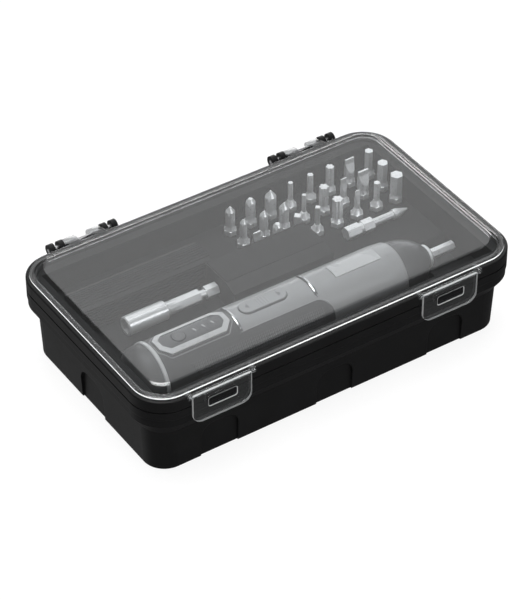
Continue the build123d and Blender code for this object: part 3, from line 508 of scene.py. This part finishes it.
def turned(name, stations, sides, material):
    """A lathe shape about a line along X: stations are (x, y, z, radius), and point (i, j)
    is at angle j round station i. A flat face closes each end."""
    stations = np.asarray(stations, float)
    angle = np.linspace(0, 2 * pi, sides, endpoint=False)
    x = np.repeat(stations[:, :1], sides, 1)
    y = stations[:, 1:2] + stations[:, 3:4] * np.cos(angle)
    z = stations[:, 2:3] + stations[:, 3:4] * np.sin(angle)
    points = np.stack([x, y, z], -1).reshape(-1, 3)
    faces = grid_faces(len(stations), sides, wrap_columns=True) + end_caps(len(stations), sides)
    return face_outwards(mesh_piece(name, points, faces, material))


def on_barrel(x, angle, radius):
    """Points round the driver: angle 0 is its top and grows towards the latches."""
    x, angle, radius = np.broadcast_arrays(x, angle, radius)
    return np.stack([x, axis_y - radius * np.sin(angle), axis_z + radius * np.cos(angle)], -1)


def bead(name, x, angle, base_radius, bead_radius, material, closed, sides=8):
    """A round bead laid on the driver's barrel along (x, angle): its section is a circle
    whose plane is square to the line's direction and holds the barrel's own outward."""
    centre = on_barrel(x, angle, base_radius)
    outward = on_barrel(x * 0, angle, 1.0) - on_barrel(x * 0, angle, 0.0)
    ahead = np.roll(centre, -1, 0) - np.roll(centre, 1, 0)
    if not closed:
        ahead[0], ahead[-1] = centre[1] - centre[0], centre[-1] - centre[-2]
    side = np.cross(ahead, outward)
    side /= np.linalg.norm(side, axis=1)[:, None]
    turn = np.linspace(0, 2 * pi, sides, endpoint=False)
    section = np.stack([np.cos(turn), np.sin(turn)], -1)[None] * bead_radius
    section = np.repeat(section, len(centre), 0)
    faces = grid_faces(len(centre), sides, wrap_rows=closed, wrap_columns=True)
    if not closed:
        section[[0, -1]] *= 0.3
        faces += end_caps(len(centre), sides)
    points = centre[:, None] + section[..., 0:1] * side[:, None] + section[..., 1:2] * outward[:, None]
    return face_outwards(mesh_piece(name, points, faces, material, 60.0))


def even_steps(points, spacing):
    """Points along a line at even steps, by linear interpolation over its length."""
    points = np.asarray(points, float)
    run = np.concatenate([[0], np.cumsum(np.linalg.norm(np.diff(points, axis=0), axis=1))])
    at = np.linspace(0, run[-1], max(2, int(run[-1] / spacing)))
    return np.stack([np.interp(at, run, points[:, k]) for k in range(points.shape[1])], -1)


# ================================================================ finishes
finishes = {}
FINISH_OF = {
    "case_black": ["case_base"],
    "tray_black": ["tray"],
    "badge_black": ["badge_plate"],
    "rubber": ["grip_sleeve", "rear_cap"],
    "shell_light": ["front_shell"],
    "plate_light": ["name_plate", "rear_ring", "control_frame"],
    "rocker_grey": ["direction_rocker"],
    "window_dark": ["control_window", "power_button"],
    "nose_dark": ["nose_collar"],
    "lamp_ring": ["nose_ring"],
    "chrome": ["trim_arcs"],
    "pin_steel": ["hinge_pins", "spindle_bearing", "planet_carrier", "motor_pinion"],
    "holder_steel": ["holder_body"],
    "shank_steel": ["long_bit", "fitted_bit"],
    "bit_steel": [n for n in nodes if n.startswith("bit_")],
    "magnet": ["holder_magnet", "chuck_magnet"],
    "core_plastic": ["handle_core"],
    "cell_wrap": ["battery_cell"],
    "board_green": ["control_board"],
    "motor_can": ["motor"],
    "gear_plastic": ["ring_gear", "planet_gear_1", "planet_gear_2", "planet_gear_3"],
    "clear_lid": ["case_lid"],
    "clear_latch": ["latch_left", "latch_right"],
}


def window_finish(colours):
    """Glossy dark window with a ringed power mark and three small charge lamps."""
    finish = Finish("window_dark")
    x, y, _ = finish.axes()
    button = middle("power_button") / MM
    window = middle("control_window") / MM
    across_x, across_y = x - float(button[0]), y - float(button[1])
    away = (across_x * across_x + across_y * across_y) ** 0.5
    gap = abs(across_y).below(0.45, 0.1) * (across_x * -1).below(0.0, 0.1)
    ring = abs(away - 1.5).below(0.16, 0.12) * (1 - gap)
    bar = abs(across_y).below(0.14, 0.1) * abs(across_x - 1.2).below(0.7, 0.1)
    mark = ring.larger(bar)
    lamps = None
    lamp_places = (9.2, 14.4, 19.6)
    for step in lamp_places:
        along = x - (float(button[0]) + step)
        lamp = (abs(along + (y - float(window[1])) * 0.35).below(0.42, 0.15)
                * abs(y - float(window[1])).below(1.0, 0.2))
        lamps = lamp if lamps is None else lamps.larger(lamp)
    flow = finish.noise(6.0, 3.0)
    marked = finish.mix(mark, finish.tint(colours.window, 0.1, 8.0), (0.15, 0.15, 0.15))
    finish.surface(
        Base_Color=finish.mix(lamps, marked, (0.25, 0.25, 0.25)),
        Roughness=0.16 + (flow - 0.5) * 0.06 + lamps * 0.25,
        Coat_Weight=0.35, Coat_Roughness=0.06,
        Normal=finish.relief(mark.larger(lamps), 0.03))
    return finish.material


def rocker_finish(colours):
    """Satin rocker with a plain arrow head printed near each end."""
    finish = Finish("rocker_grey")
    x, y, _ = finish.axes()
    rocker = middle("direction_rocker") / MM
    along, across = x - float(rocker[0]), y - float(rocker[1])
    arrows = None
    for end in (-1, 1):
        tip = (along * end) - 9.6
        arrow = (abs(across) * 1.1 + tip).below(0.9, 0.12) * (tip * -1).below(1.1, 0.12)
        arrows = arrow if arrows is None else arrows.larger(arrow)
    wave = (along * 3.9).sine() * 0.5 + 0.5
    ribs = (abs(along).below(3.2, 0.3) * abs(across).below(2.6, 0.3)) * wave
    grain = finish.noise(0.25, 2.0)
    finish.surface(
        Base_Color=finish.mix(arrows, finish.tint(colours.rocker, 0.06, 6.0), (0.12, 0.12, 0.12)),
        Roughness=0.42 + (grain - 0.5) * 0.1,
        Normal=finish.relief(ribs + grain * 0.05, 0.12, 0.25))
    return finish.material


def rubber_finish(colours):
    """Soft rubber: matt, slightly dusty, with a fine pore."""
    finish = Finish("rubber")
    dust = finish.noise(7.0, 5.0)
    pores = finish.noise(0.3, 3.0)
    lighter = tuple(c * 1.5 for c in colours.rubber)
    finish.surface(
        Base_Color=finish.mix(dust, tuple(c * 0.8 for c in colours.rubber), lighter),
        Roughness=0.52 + (dust - 0.5) * 0.2,
        Sheen_Weight=0.08, Sheen_Roughness=0.4,
        Normal=finish.relief(pores, 0.003))
    return finish.material


def steel_finish(name, base, roughness, along_z):
    """Satin-nickel tool steel: lines drawn along its length and cloudy gloss."""
    finish = Finish(name)
    stretch = (1.0, 1.0, 0.06) if along_z else (0.06, 1.0, 1.0)
    lines = finish.noise(0.14, 3.0, stretch)
    clouds = finish.noise(1.8, 3.0)
    finish.surface(
        Base_Color=finish.tint(base, 0.08, 2.2), Metallic=0.55,
        Roughness=roughness + (lines - 0.5) * 0.14 + (clouds - 0.5) * 0.12,
        Normal=finish.relief(lines, 0.003, 0.12))
    return finish.material


def make_finishes():
    """Makes every material of the set and keeps each under its own name."""
    colours = bpy.context.scene.set_finishes
    wear = colours.wear
    badge = tuple(c * 0.9 for c in colours.tray_black)
    # rubber nine times lighter for the hatch ridge tops: a painted sheen where the ridges catch the light
    ridge_sheen_colour = tuple(c * 9.0 for c in colours.rubber)
    # knuckles: the same clear plastic let through darker, painted shade for the grey of the thick knuckles
    knuckle = tuple(c * 0.68 for c in colours.clear)
    # moulded: roughness, grain size, grain depth, rounding, wear, specular
    # satin: roughness, coat, rounding, grain depth
    # drawn_metal: roughness, stretch of its lines, rounding, depth of its lines
    made = [
        moulded("case_black", colours.case_black, 0.42, 0.45, 0.008, 0.45, wear, 0.16),
        moulded("tray_black", colours.tray_black, 0.46, 0.35, 0.003, 0.0, wear, 0.16),
        moulded("badge_black", badge, 0.42, 0.25, 0.003, 0.12, wear, 0.12),
        rubber_finish(colours),
        satin("rubber_painted_sheen", ridge_sheen_colour, 0.38, 0.0, 0.0, 0.002),
        satin("shell_light", colours.shell, 0.30, 0.30, 0.0, 0.002),
        satin("plate_light", colours.plate, 0.28, 0.25, 0.15),
        rocker_finish(colours),
        window_finish(colours),
        moulded("nose_dark", colours.nose, 0.36, 0.3, 0.006, 0.3, wear),
        satin("lamp_ring", (0.62, 0.63, 0.63), 0.45, 0.0, 0.2),
        drawn_metal("chrome", (0.62, 0.62, 0.625), 0.12, (1.0, 0.3, 0.3), 0.0, 0.001),
        drawn_metal("pin_steel", (0.60, 0.60, 0.61), 0.26, (0.05, 1.0, 1.0), 0.1),
        steel_finish("holder_steel", colours.steel, 0.22, False),
        steel_finish("shank_steel", colours.steel, 0.30, False),
        steel_finish("bit_steel", colours.steel, 0.30, True),
        drawn_metal("magnet", (0.50, 0.50, 0.51), 0.30, (1.0, 1.0, 1.0), 0.1),
        moulded("core_plastic", (0.020, 0.020, 0.021), 0.45, 0.4, 0.01, 0.2, wear),
        satin("cell_wrap", (0.03, 0.09, 0.22), 0.25, 0.3, 0.3),
        satin("board_green", (0.01, 0.09, 0.035), 0.35, 0.2, 0.1),
        drawn_metal("motor_can", (0.52, 0.52, 0.53), 0.34, (0.05, 1.0, 1.0), 0.3),
        satin("gear_plastic", (0.62, 0.58, 0.46), 0.42, 0.0, 0.05),
        clear_plastic("clear_lid", colours.clear, 0.03),
        clear_plastic("clear_latch", colours.clear, 0.06),
        clear_plastic("clear_knuckle_painted_shade", knuckle, 0.06),
        # painted glow along the edges of the lid and the latches
        clear_edge("lid_edge_painted_glow", 0.92, 0.85),
        clear_edge("latch_edge_painted_glow", 0.50, 0.10),
    ]
    finishes.update((material["finish"], material) for material in made)


# ================================================================ operators
class SET_OT_finishes(bpy.types.Operator):
    """Give every CAD node its procedural finish."""
    bl_idname = "screwdriver_set.finishes"
    bl_label = "Finishes"

    def execute(self, context):
        make_finishes()
        for name, members in FINISH_OF.items():
            for node in members:
                slots = nodes[node].data.materials
                slots.clear()
                slots.append(finishes[name])
        return {"FINISHED"}


def lid_heights(lid):
    """Top and underside of the lid's flange."""
    flange_top = lid_high[2] - lid.rise
    return flange_top, flange_top - lid.flange_thickness


def lid_shell(lid):
    """Panel, slope, flange and tongue: one profile carried round the lid, and a painted glow, in place of
    the light that leaves the sheet, on the flange's edge along the front and the left."""
    half_x, half_y = lid_high[0] + lid.inset, lid.rim_width / 2
    top = lid_high[2]
    flange_top, under = lid_heights(lid)
    tilt = lid.slope / lid.rise
    wall_down = lid.wall * sqrt(1 + 1 / tilt**2)
    hollow = lid.inset + lid.flange + (wall_down - lid.flange_thickness) * tilt
    ceiling = hollow + (top - lid.wall - under) * tilt
    panel = lid.inset + lid.flange + lid.slope
    cap = lid.corner * 0.8
    foot = under - lid.tongue_depth
    corners = [
        (cap, top), (panel, top), (lid.inset + lid.flange, flange_top),
        (lid.inset, flange_top), (lid.inset, under), (lid.tongue_inset, under),
        (lid.tongue_inset, foot), (lid.tongue_inset + lid.tongue_wall, foot),
        (lid.tongue_inset + lid.tongue_wall, under), (hollow, under),
        (ceiling, top - lid.wall), (cap, top - lid.wall),
    ]
    radii = np.array([0, 7.0, 0.6, 1.3, 0.8, 0.3, 0.5, 0.5, 0.3, 0.3, 5.0, 0]) * lid.edge
    profile = rounded_line(corners, radii, 8, False)
    points = carried_round(profile, half_x, half_y, lid.corner, 14)
    rows, columns = points.shape[:2]
    faces = grid_faces(rows, columns, wrap_columns=True) + end_caps(rows, columns)
    shell = even_shading(face_outwards(mesh_piece("lid_shell", points, faces, finishes["clear_lid"], 40.0)))
    outermost = (profile[:, 0] < lid.inset + 0.02 * MM) & (profile[:, 1] > under + 0.3 * MM)
    outwards = np.array([face.normal for face in shell.data.polygons[:(rows - 1) * columns]])
    towards_front = (outwards @ (-0.55, -0.83, 0.0) > 0).reshape(rows - 1, columns)
    # the flange's outer edge, on the faces turned to the front, gets the edge finish: a painted glow
    second_finish(shell, (outermost[:-1] & outermost[1:])[:, None] & towards_front, finishes["lid_edge_painted_glow"])
    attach(shell, "lid")
    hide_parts("case_lid")


def lid_arms(kind, side, outline, centre, near, far, edge, material):
    """A pair of arms of one outline, each side of a centre."""
    for place, (start, end) in (("outer", (-far, -near)), ("inner", (near, far))):
        piece = prism(f"lid_{kind}_{side}_{place}", outline, centre + start, centre + end, edge, material)
        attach(piece, "lid")


def lid_knuckles(lid):
    """Hinge knuckles: a disc round the pin that runs into an arm over the flange."""
    flange_top, under = lid_heights(lid)
    low, high = box("hinge_pins")
    pin_x, pin_y, pin_z = (low + high) / 2
    knuckle = lid_high[1] - pin_y
    arc = np.linspace(radians(45), radians(-180), 20)
    disc = np.stack([pin_y + knuckle * np.cos(arc), pin_z + knuckle * np.sin(arc)], -1)
    edge_y = lid.rim_width / 2 - lid.inset
    arm = np.array([(pin_y - knuckle, under), (edge_y - lid.arm_lap, under),
                    (edge_y - lid.arm_lap, flange_top), (edge_y, flange_top)])
    outline = np.concatenate([disc, arm])
    for side, offset in (("left", -lid.hinge_offset), ("right", lid.hinge_offset)):
        lid_arms("knuckle", side, outline, pin_x + offset, lid.knuckle_near, lid.knuckle_far,
                 lid.knuckle_edge, finishes["clear_knuckle_painted_shade"])


def lid_lugs(lid):
    """Lugs that carry the latches: a half disc round the pivot that runs into the flange."""
    flange_top, under = lid_heights(lid)
    half_y = lid.rim_width / 2
    pivot_y, pivot_z = -half_y - lid.pivot_proud, flange_top - lid.pivot_drop
    arc = np.linspace(radians(90), radians(270), 14)
    nose = np.stack([pivot_y + lid.lug_radius * np.cos(arc), pivot_z + lid.lug_radius * np.sin(arc)], -1)
    edge_y = -half_y + lid.inset
    back = np.array([(pivot_y + lid.lug_radius, under), (edge_y + lid.arm_lap, under),
                     (edge_y + lid.arm_lap, flange_top), (edge_y, flange_top)])
    outline = np.concatenate([nose, back])
    for side in ("left", "right"):
        lid_arms("lug", side, outline, middle(f"latch_{side}")[0], lid.lug_near, lid.lug_far,
                 lid.lug_edge, finishes["clear_lid"])


class SET_OT_lid(bpy.types.Operator):
    """Build the clear lid with its rounded edges, knuckles and lugs."""
    bl_idname = "screwdriver_set.lid"
    bl_label = "Clear lid"

    def execute(self, context):
        lid = context.scene.lid_sizes
        lid_shell(lid)
        lid_knuckles(lid)
        lid_lugs(lid)
        return {"FINISHED"}


def latch_plate(name, latch, centre, drop):
    """Plate below the pivot: rings of points from its rounded front edge over the outside to
    the back, and through the slot to the front again."""
    turn = np.linspace(0, pi / 2, 4)
    half = latch.thickness / 2
    drawn = latch.edge * (1 - np.sin(turn))
    depth = half - latch.edge * (1 - np.cos(turn))
    corners = [latch.upper_corner, latch.upper_corner, latch.lower_corner, latch.lower_corner]
    slot_centre = drop / 2 - latch.slot_drop
    rings = []
    for inset, y in [*zip(drawn, -depth), *zip(drawn[::-1], depth[::-1])]:
        ring = plan_ring(latch.width / 2 - inset, drop / 2 - inset, [c - inset for c in corners], 8)
        rings.append(np.stack([ring[:, 0], ring[:, 0] * 0 + y, ring[:, 1]], -1))
    for grow, y in [*zip(drawn, depth), *zip(drawn[::-1], -depth[::-1])]:
        ring = plan_ring(latch.slot_width / 2 + grow, latch.slot_height / 2 + grow,
                         [latch.slot_corner + grow] * 4, 8)
        rings.append(np.stack([ring[:, 0], ring[:, 0] * 0 + y, ring[:, 1] + slot_centre], -1))
    points = np.array(rings) + centre - np.array([0, 0, drop / 2])
    rows, columns = points.shape[:2]
    faces = grid_faces(rows, columns, wrap_rows=True, wrap_columns=True)
    plate = even_shading(face_outwards(
        mesh_piece(f"{name}_plate", points, faces, finishes["clear_latch"], 40.0)))
    # the edge all round and the slot's front edge get a painted glow in place of the light they carry
    lit_rows = np.isin(np.arange(rows), (2, 3, 12, 13, 14))[:, None]
    second_finish(plate, lit_rows & np.ones(columns, bool), finishes["latch_edge_painted_glow"])
    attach(plate, name)
    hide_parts(name)


def latch_barrel(name, latch, centre, reach):
    """Barrel along the plate's top, with a pin at each end: a lathe shape about the pivot."""
    half_width, chamfer = latch.width / 2, 0.3 * MM
    stations = [(-reach, 0.6 * latch.pin), (-reach + 0.2 * MM, latch.pin), (-half_width, latch.pin),
                (-half_width, 0.8 * latch.barrel), (-half_width + chamfer, latch.barrel)]
    stations += [(-x, radius) for x, radius in stations[::-1]]
    centre_x, pivot_y, pivot_z = centre
    rod = turned(f"{name}_barrel", [(centre_x + x, pivot_y, pivot_z, radius) for x, radius in stations],
                 20, finishes["clear_latch"])
    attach(rod, name)


class SET_OT_latches(bpy.types.Operator):
    """Build the two clear latches with rounded edges, slots and barrels."""
    bl_idname = "screwdriver_set.latches"
    bl_label = "Clear latches"

    def execute(self, context):
        latch = context.scene.latch_sizes
        for name in ("latch_left", "latch_right"):
            low, high = box(name)
            centre = np.array([(low[0] + high[0]) / 2, low[1] + latch.barrel, high[2] - latch.barrel])
            latch_plate(name, latch, centre, centre[2] - low[2])
            latch_barrel(name, latch, centre, high[0] - centre[0])
        return {"FINISHED"}


def grip_hatch(driver):
    """Raised hatching on both sides of the grip. Over (along, round) its height is a cosine
    along the grip, shifted a little further across each row, times a half sine over each row."""
    start, end = sleeve_low[0] + driver.hatch_rear, sleeve_high[0] - driver.hatch_front
    x, angle = np.meshgrid(
        np.linspace(start, end, 300), np.linspace(driver.hatch_from, driver.hatch_to, 84))
    round_way = (angle - driver.hatch_from) * grip_radius
    row = round_way / driver.hatch_row
    across_row = row - np.floor(row)
    ridge = 0.5 + 0.5 * np.cos(2 * pi * (x / driver.hatch_pitch + 0.9 * across_row))
    roll = np.sin(pi * across_row) ** 0.6
    # it fades out over a short way at its edges, and its rear edge leans
    edge_x = np.minimum(x - start - round_way * 0.45, end - x) / (2.5 * MM)
    edge_round = np.minimum(round_way, (driver.hatch_to - angle) * grip_radius) / (1.6 * MM)
    fade = np.clip(np.minimum(edge_x, edge_round), 0, 1)
    height = driver.hatch_height * (0.25 + 0.75 * ridge**0.8 * roll) * fade - 0.06 * MM
    raised = height > 0.55 * driver.hatch_height
    rows, columns = x.shape
    faces = grid_faces(rows, columns) + grid_faces(rows, columns, start=rows * columns, flip=True)
    rim = np.concatenate([
        np.arange(columns), np.arange(1, rows) * columns + columns - 1,
        (rows - 1) * columns + np.arange(columns - 2, -1, -1),
        np.arange(rows - 2, 0, -1) * columns])
    after = np.roll(rim, -1)
    faces += np.stack([after, rim, rim + rows * columns, after + rows * columns], -1).tolist()
    for name, mirror in (("grip_hatch_front", 1), ("grip_hatch_back", -1)):
        outer = on_barrel(x, angle * mirror, grip_radius + height)
        inner = on_barrel(x, angle * mirror, grip_radius - 0.3 * MM)
        points = np.concatenate([outer.reshape(-1, 3), inner.reshape(-1, 3)])
        piece = face_outwards(mesh_piece(name, points, faces, finishes["rubber"], 80.0))
        # the raised ridge tops take the lighter rubber: painted sheen
        second_finish(piece, raised[:-1, :-1] & raised[1:, 1:], finishes["rubber_painted_sheen"])
        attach(piece, "case")


def grip_bead(driver):
    """Light bead along the grip's upper edge, round its corner and down its front: a line
    in the side view, laid on the barrel."""
    rear, front = box("front_shell")[0][0] - 2 * MM, sleeve_high[0]
    line = [(rear, driver.seam_height), (front, driver.seam_height), (front, -0.98 * grip_radius)]
    side_view = even_steps(rounded_line(line, [0, driver.seam_corner, 0], 24, False), 0.8 * MM)
    angle = np.arccos(np.clip(side_view[:, 1] / grip_radius, -1, 1))
    for name, mirror in (("grip_bead_front", 1), ("grip_bead_back", -1)):
        piece = bead(name, side_view[:, 0], angle * mirror, grip_radius - 0.05 * MM, driver.seam,
                     finishes["shell_light"], False)
        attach(piece, "case")


class SET_OT_grips(bpy.types.Operator):
    """Lay the raised hatching on both sides of the grip and the light bead round it."""
    bl_idname = "screwdriver_set.grips"
    bl_label = "Grips"

    def execute(self, context):
        driver = context.scene.driver_sizes
        grip_hatch(driver)
        grip_bead(driver)
        return {"FINISHED"}


def chrome_bars(driver):
    """Two half-round bars over the driver: an ellipse carried round the barrel, that
    shrinks to almost nothing at both ends."""
    low, high = box("trim_arcs")
    reach = np.arcsin((high[1] - low[1]) / 2 / grip_radius)
    across = np.linspace(-reach, reach, 41)
    around = np.linspace(0, 2 * pi, 20, endpoint=False)
    swell = np.sqrt(np.clip(1 - np.abs(across / reach) ** 6, 0.0004, 1))[:, None]
    sunk = 0.1 * MM
    for name, x in (("chrome_bar_rear", low[0] + driver.bar_inset),
                    ("chrome_bar_front", high[0] - driver.bar_inset)):
        along = x + driver.bar_width / 2 * swell * np.cos(around)
        tall = grip_radius - sunk + (driver.bar_height + sunk) * swell * np.sin(around)
        points = on_barrel(along, across[:, None], tall)
        rows, columns = points.shape[:2]
        faces = grid_faces(rows, columns, wrap_columns=True) + end_caps(rows, columns)
        piece = face_outwards(mesh_piece(name, points, faces, finishes["chrome"], 70.0))
        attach(piece, "case")
        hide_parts("trim_arcs")


def control_lip(driver):
    """Lip round the control frame: a rectangle with cut corners laid on the grip."""
    low, high = box("control_frame")
    cut = driver.lip_cut
    x0, x1 = low[0] - driver.lip_gap, high[0] + driver.lip_gap
    half = (high[1] - low[1]) / 2 + driver.lip_gap
    outline = [(x0 + cut, -half), (x1 - cut, -half), (x1, cut - half), (x1, half - cut),
               (x1 - cut, half), (x0 + cut, half), (x0, half - cut), (x0, cut - half), (x0 + cut, -half)]
    line = even_steps(outline, 0.8 * MM)[:-1]
    piece = bead("control_lip", line[:, 0], np.arcsin(line[:, 1] / grip_radius), grip_radius - 0.05 * MM,
                 driver.seam, finishes["shell_light"], True)
    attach(piece, "case")


class SET_OT_trim(bpy.types.Operator):
    """Build the driver's chrome bars and the lip round its control frame."""
    bl_idname = "screwdriver_set.trim"
    bl_label = "Driver trim"

    def execute(self, context):
        driver = context.scene.driver_sizes
        chrome_bars(driver)
        control_lip(driver)
        return {"FINISHED"}


# soft boxes of the studio: direction, angle of the full light, angle where it ends, radiance
SOFT_BOXES = (
    ((0.427, 0.640, 0.639), 19, 24, 0.72),      # behind, mirrored by the lid's flat panel
    ((-0.05, 0.12, 0.99), 19, 23, 8.0),         # overhead, lights what lies in the case
    ((0.427, 0.90, 0.06), 10, 14, 4.0),         # low behind, draws the lid's far edge
    ((0.73, 0.64, 0.21), 11, 17, 4.0),          # low at the right, draws its right edge
    ((0.20, -0.85, 0.50), 12, 20, 2.6),         # in front, a sheen along the driver
    ((-0.427, 0.640, -0.639), 18, 32, 0.22),    # pale bench at the left
)


def pale_floor():
    """Wide pale floor a little under the case."""
    finish = Finish("floor_pale")
    cloud = finish.noise(260.0, 2.0)
    finish.surface(
        Base_Color=finish.mix(cloud, (0.11, 0.11, 0.11), (0.13, 0.13, 0.13)),
        Roughness=0.9, Specular_IOR_Level=0.0,
        Emission_Color=(1.0, 1.0, 1.0), Emission_Strength=0.90)
    reach, low = 4.0, -0.4 * MM
    corners = [(-reach, -reach, low), (reach, -reach, low), (reach, reach, low), (-reach, reach, low)]
    floor = mesh_piece("floor", corners, [(0, 1, 2, 3)], finish.material)
    floor.visible_glossy = False


def studio_light(scene):
    """A dim even sky with the soft boxes in it. The camera itself sees plain white."""
    world = bpy.data.worlds.new("studio")
    world.use_nodes = True
    scene.world = world
    sky = Shading(world.node_tree)
    towards = sky.add("ShaderNodeTexCoord").outputs["Generated"]
    level = 0.12
    for direction, inner, outer, radiance in SOFT_BOXES:
        aimed = sky.add("ShaderNodeVectorMath", {"operation": "DOT_PRODUCT"},
                        [towards, tuple(Vector(direction).normalized())])
        facing = Signal(sky, aimed.outputs["Value"])
        soft = cos(radians(inner)) - cos(radians(outer))
        level = level + (1 - facing.below(cos(radians(outer)), soft)) * radiance
    seen = sky.add("ShaderNodeLightPath").outputs["Is Camera Ray"]
    level = sky.add("ShaderNodeMix", {"data_type": "FLOAT"}, {0: seen, 2: level, 3: 1.0}).outputs[0]
    glow = sky.add("ShaderNodeBackground", None, {"Color": (1.0, 1.0, 1.0), "Strength": level})
    output = sky.tree.nodes.new("ShaderNodeOutputWorld")
    sky.tree.links.new(glow.outputs[0], output.inputs[0])


def camera_in_place(scene):
    """Long lens in front and to the left, turned round a point in the lid's plane."""
    turn, tilt = radians(-33.7), radians(39.7)
    distance, slide_right, slide_up = 1.3547, -0.424 * MM, -20.14 * MM
    back = Vector((sin(turn) * cos(tilt), -cos(turn) * cos(tilt), sin(tilt)))
    right = Vector((cos(turn), sin(turn), 0.0))
    up = back.cross(right)
    aim = Vector((-2.4, -1.85, 50.3)) * MM + right * slide_right + up * slide_up
    camera = bpy.data.objects.new("camera", bpy.data.cameras.new("camera"))
    camera.data.sensor_width = 36.0
    camera.data.lens = 162.3
    axes = Matrix((right, up, back)).transposed().to_4x4()
    camera.matrix_world = Matrix.Translation(aim + back * distance) @ axes
    scene.collection.objects.link(camera)
    scene.camera = camera


class SET_OT_stage(bpy.types.Operator):
    """Set the pale floor, the soft studio light and the camera."""
    bl_idname = "screwdriver_set.stage"
    bl_label = "Stage"

    def execute(self, context):
        pale_floor()
        studio_light(context.scene)
        camera_in_place(context.scene)
        context.scene.view_settings.view_transform = "Standard"
        return {"FINISHED"}


class SET_PT_panel(bpy.types.Panel):
    """Lists the sizes and colours, and one button for each group of pieces."""
    bl_label = "Screwdriver set"
    bl_idname = "SET_PT_panel"
    bl_space_type = "VIEW_3D"
    bl_region_type = "UI"
    bl_category = "Screwdriver set"

    def draw(self, context):
        scene = context.scene
        for group in (scene.lid_sizes, scene.latch_sizes, scene.driver_sizes, scene.set_finishes):
            for key in group.bl_rna.properties.keys():
                if key not in ("rna_type", "name"):
                    self.layout.prop(group, key)
        for operator in OPERATORS:
            self.layout.operator(operator.bl_idname)


GROUPS = {
    "lid_sizes": LidSizes, "latch_sizes": LatchSizes,
    "driver_sizes": DriverSizes, "set_finishes": Finishes,
}
OPERATORS = (SET_OT_finishes, SET_OT_lid, SET_OT_latches, SET_OT_grips, SET_OT_trim, SET_OT_stage)


def register():
    for item in (*GROUPS.values(), *OPERATORS, SET_PT_panel):
        bpy.utils.register_class(item)
    for name, group in GROUPS.items():
        setattr(bpy.types.Scene, name, bpy.props.PointerProperty(type=group))


def unregister():
    for name in GROUPS:
        delattr(bpy.types.Scene, name)
    for item in (SET_PT_panel, *reversed(OPERATORS), *reversed(GROUPS.values())):
        bpy.utils.unregister_class(item)


def main():
    register()
    bpy.ops.screwdriver_set.finishes()
    bpy.ops.screwdriver_set.lid()
    bpy.ops.screwdriver_set.latches()
    bpy.ops.screwdriver_set.grips()
    bpy.ops.screwdriver_set.trim()
    bpy.ops.screwdriver_set.stage()
    bpy.context.view_layer.update()


if __name__ == "__main__":
    main()
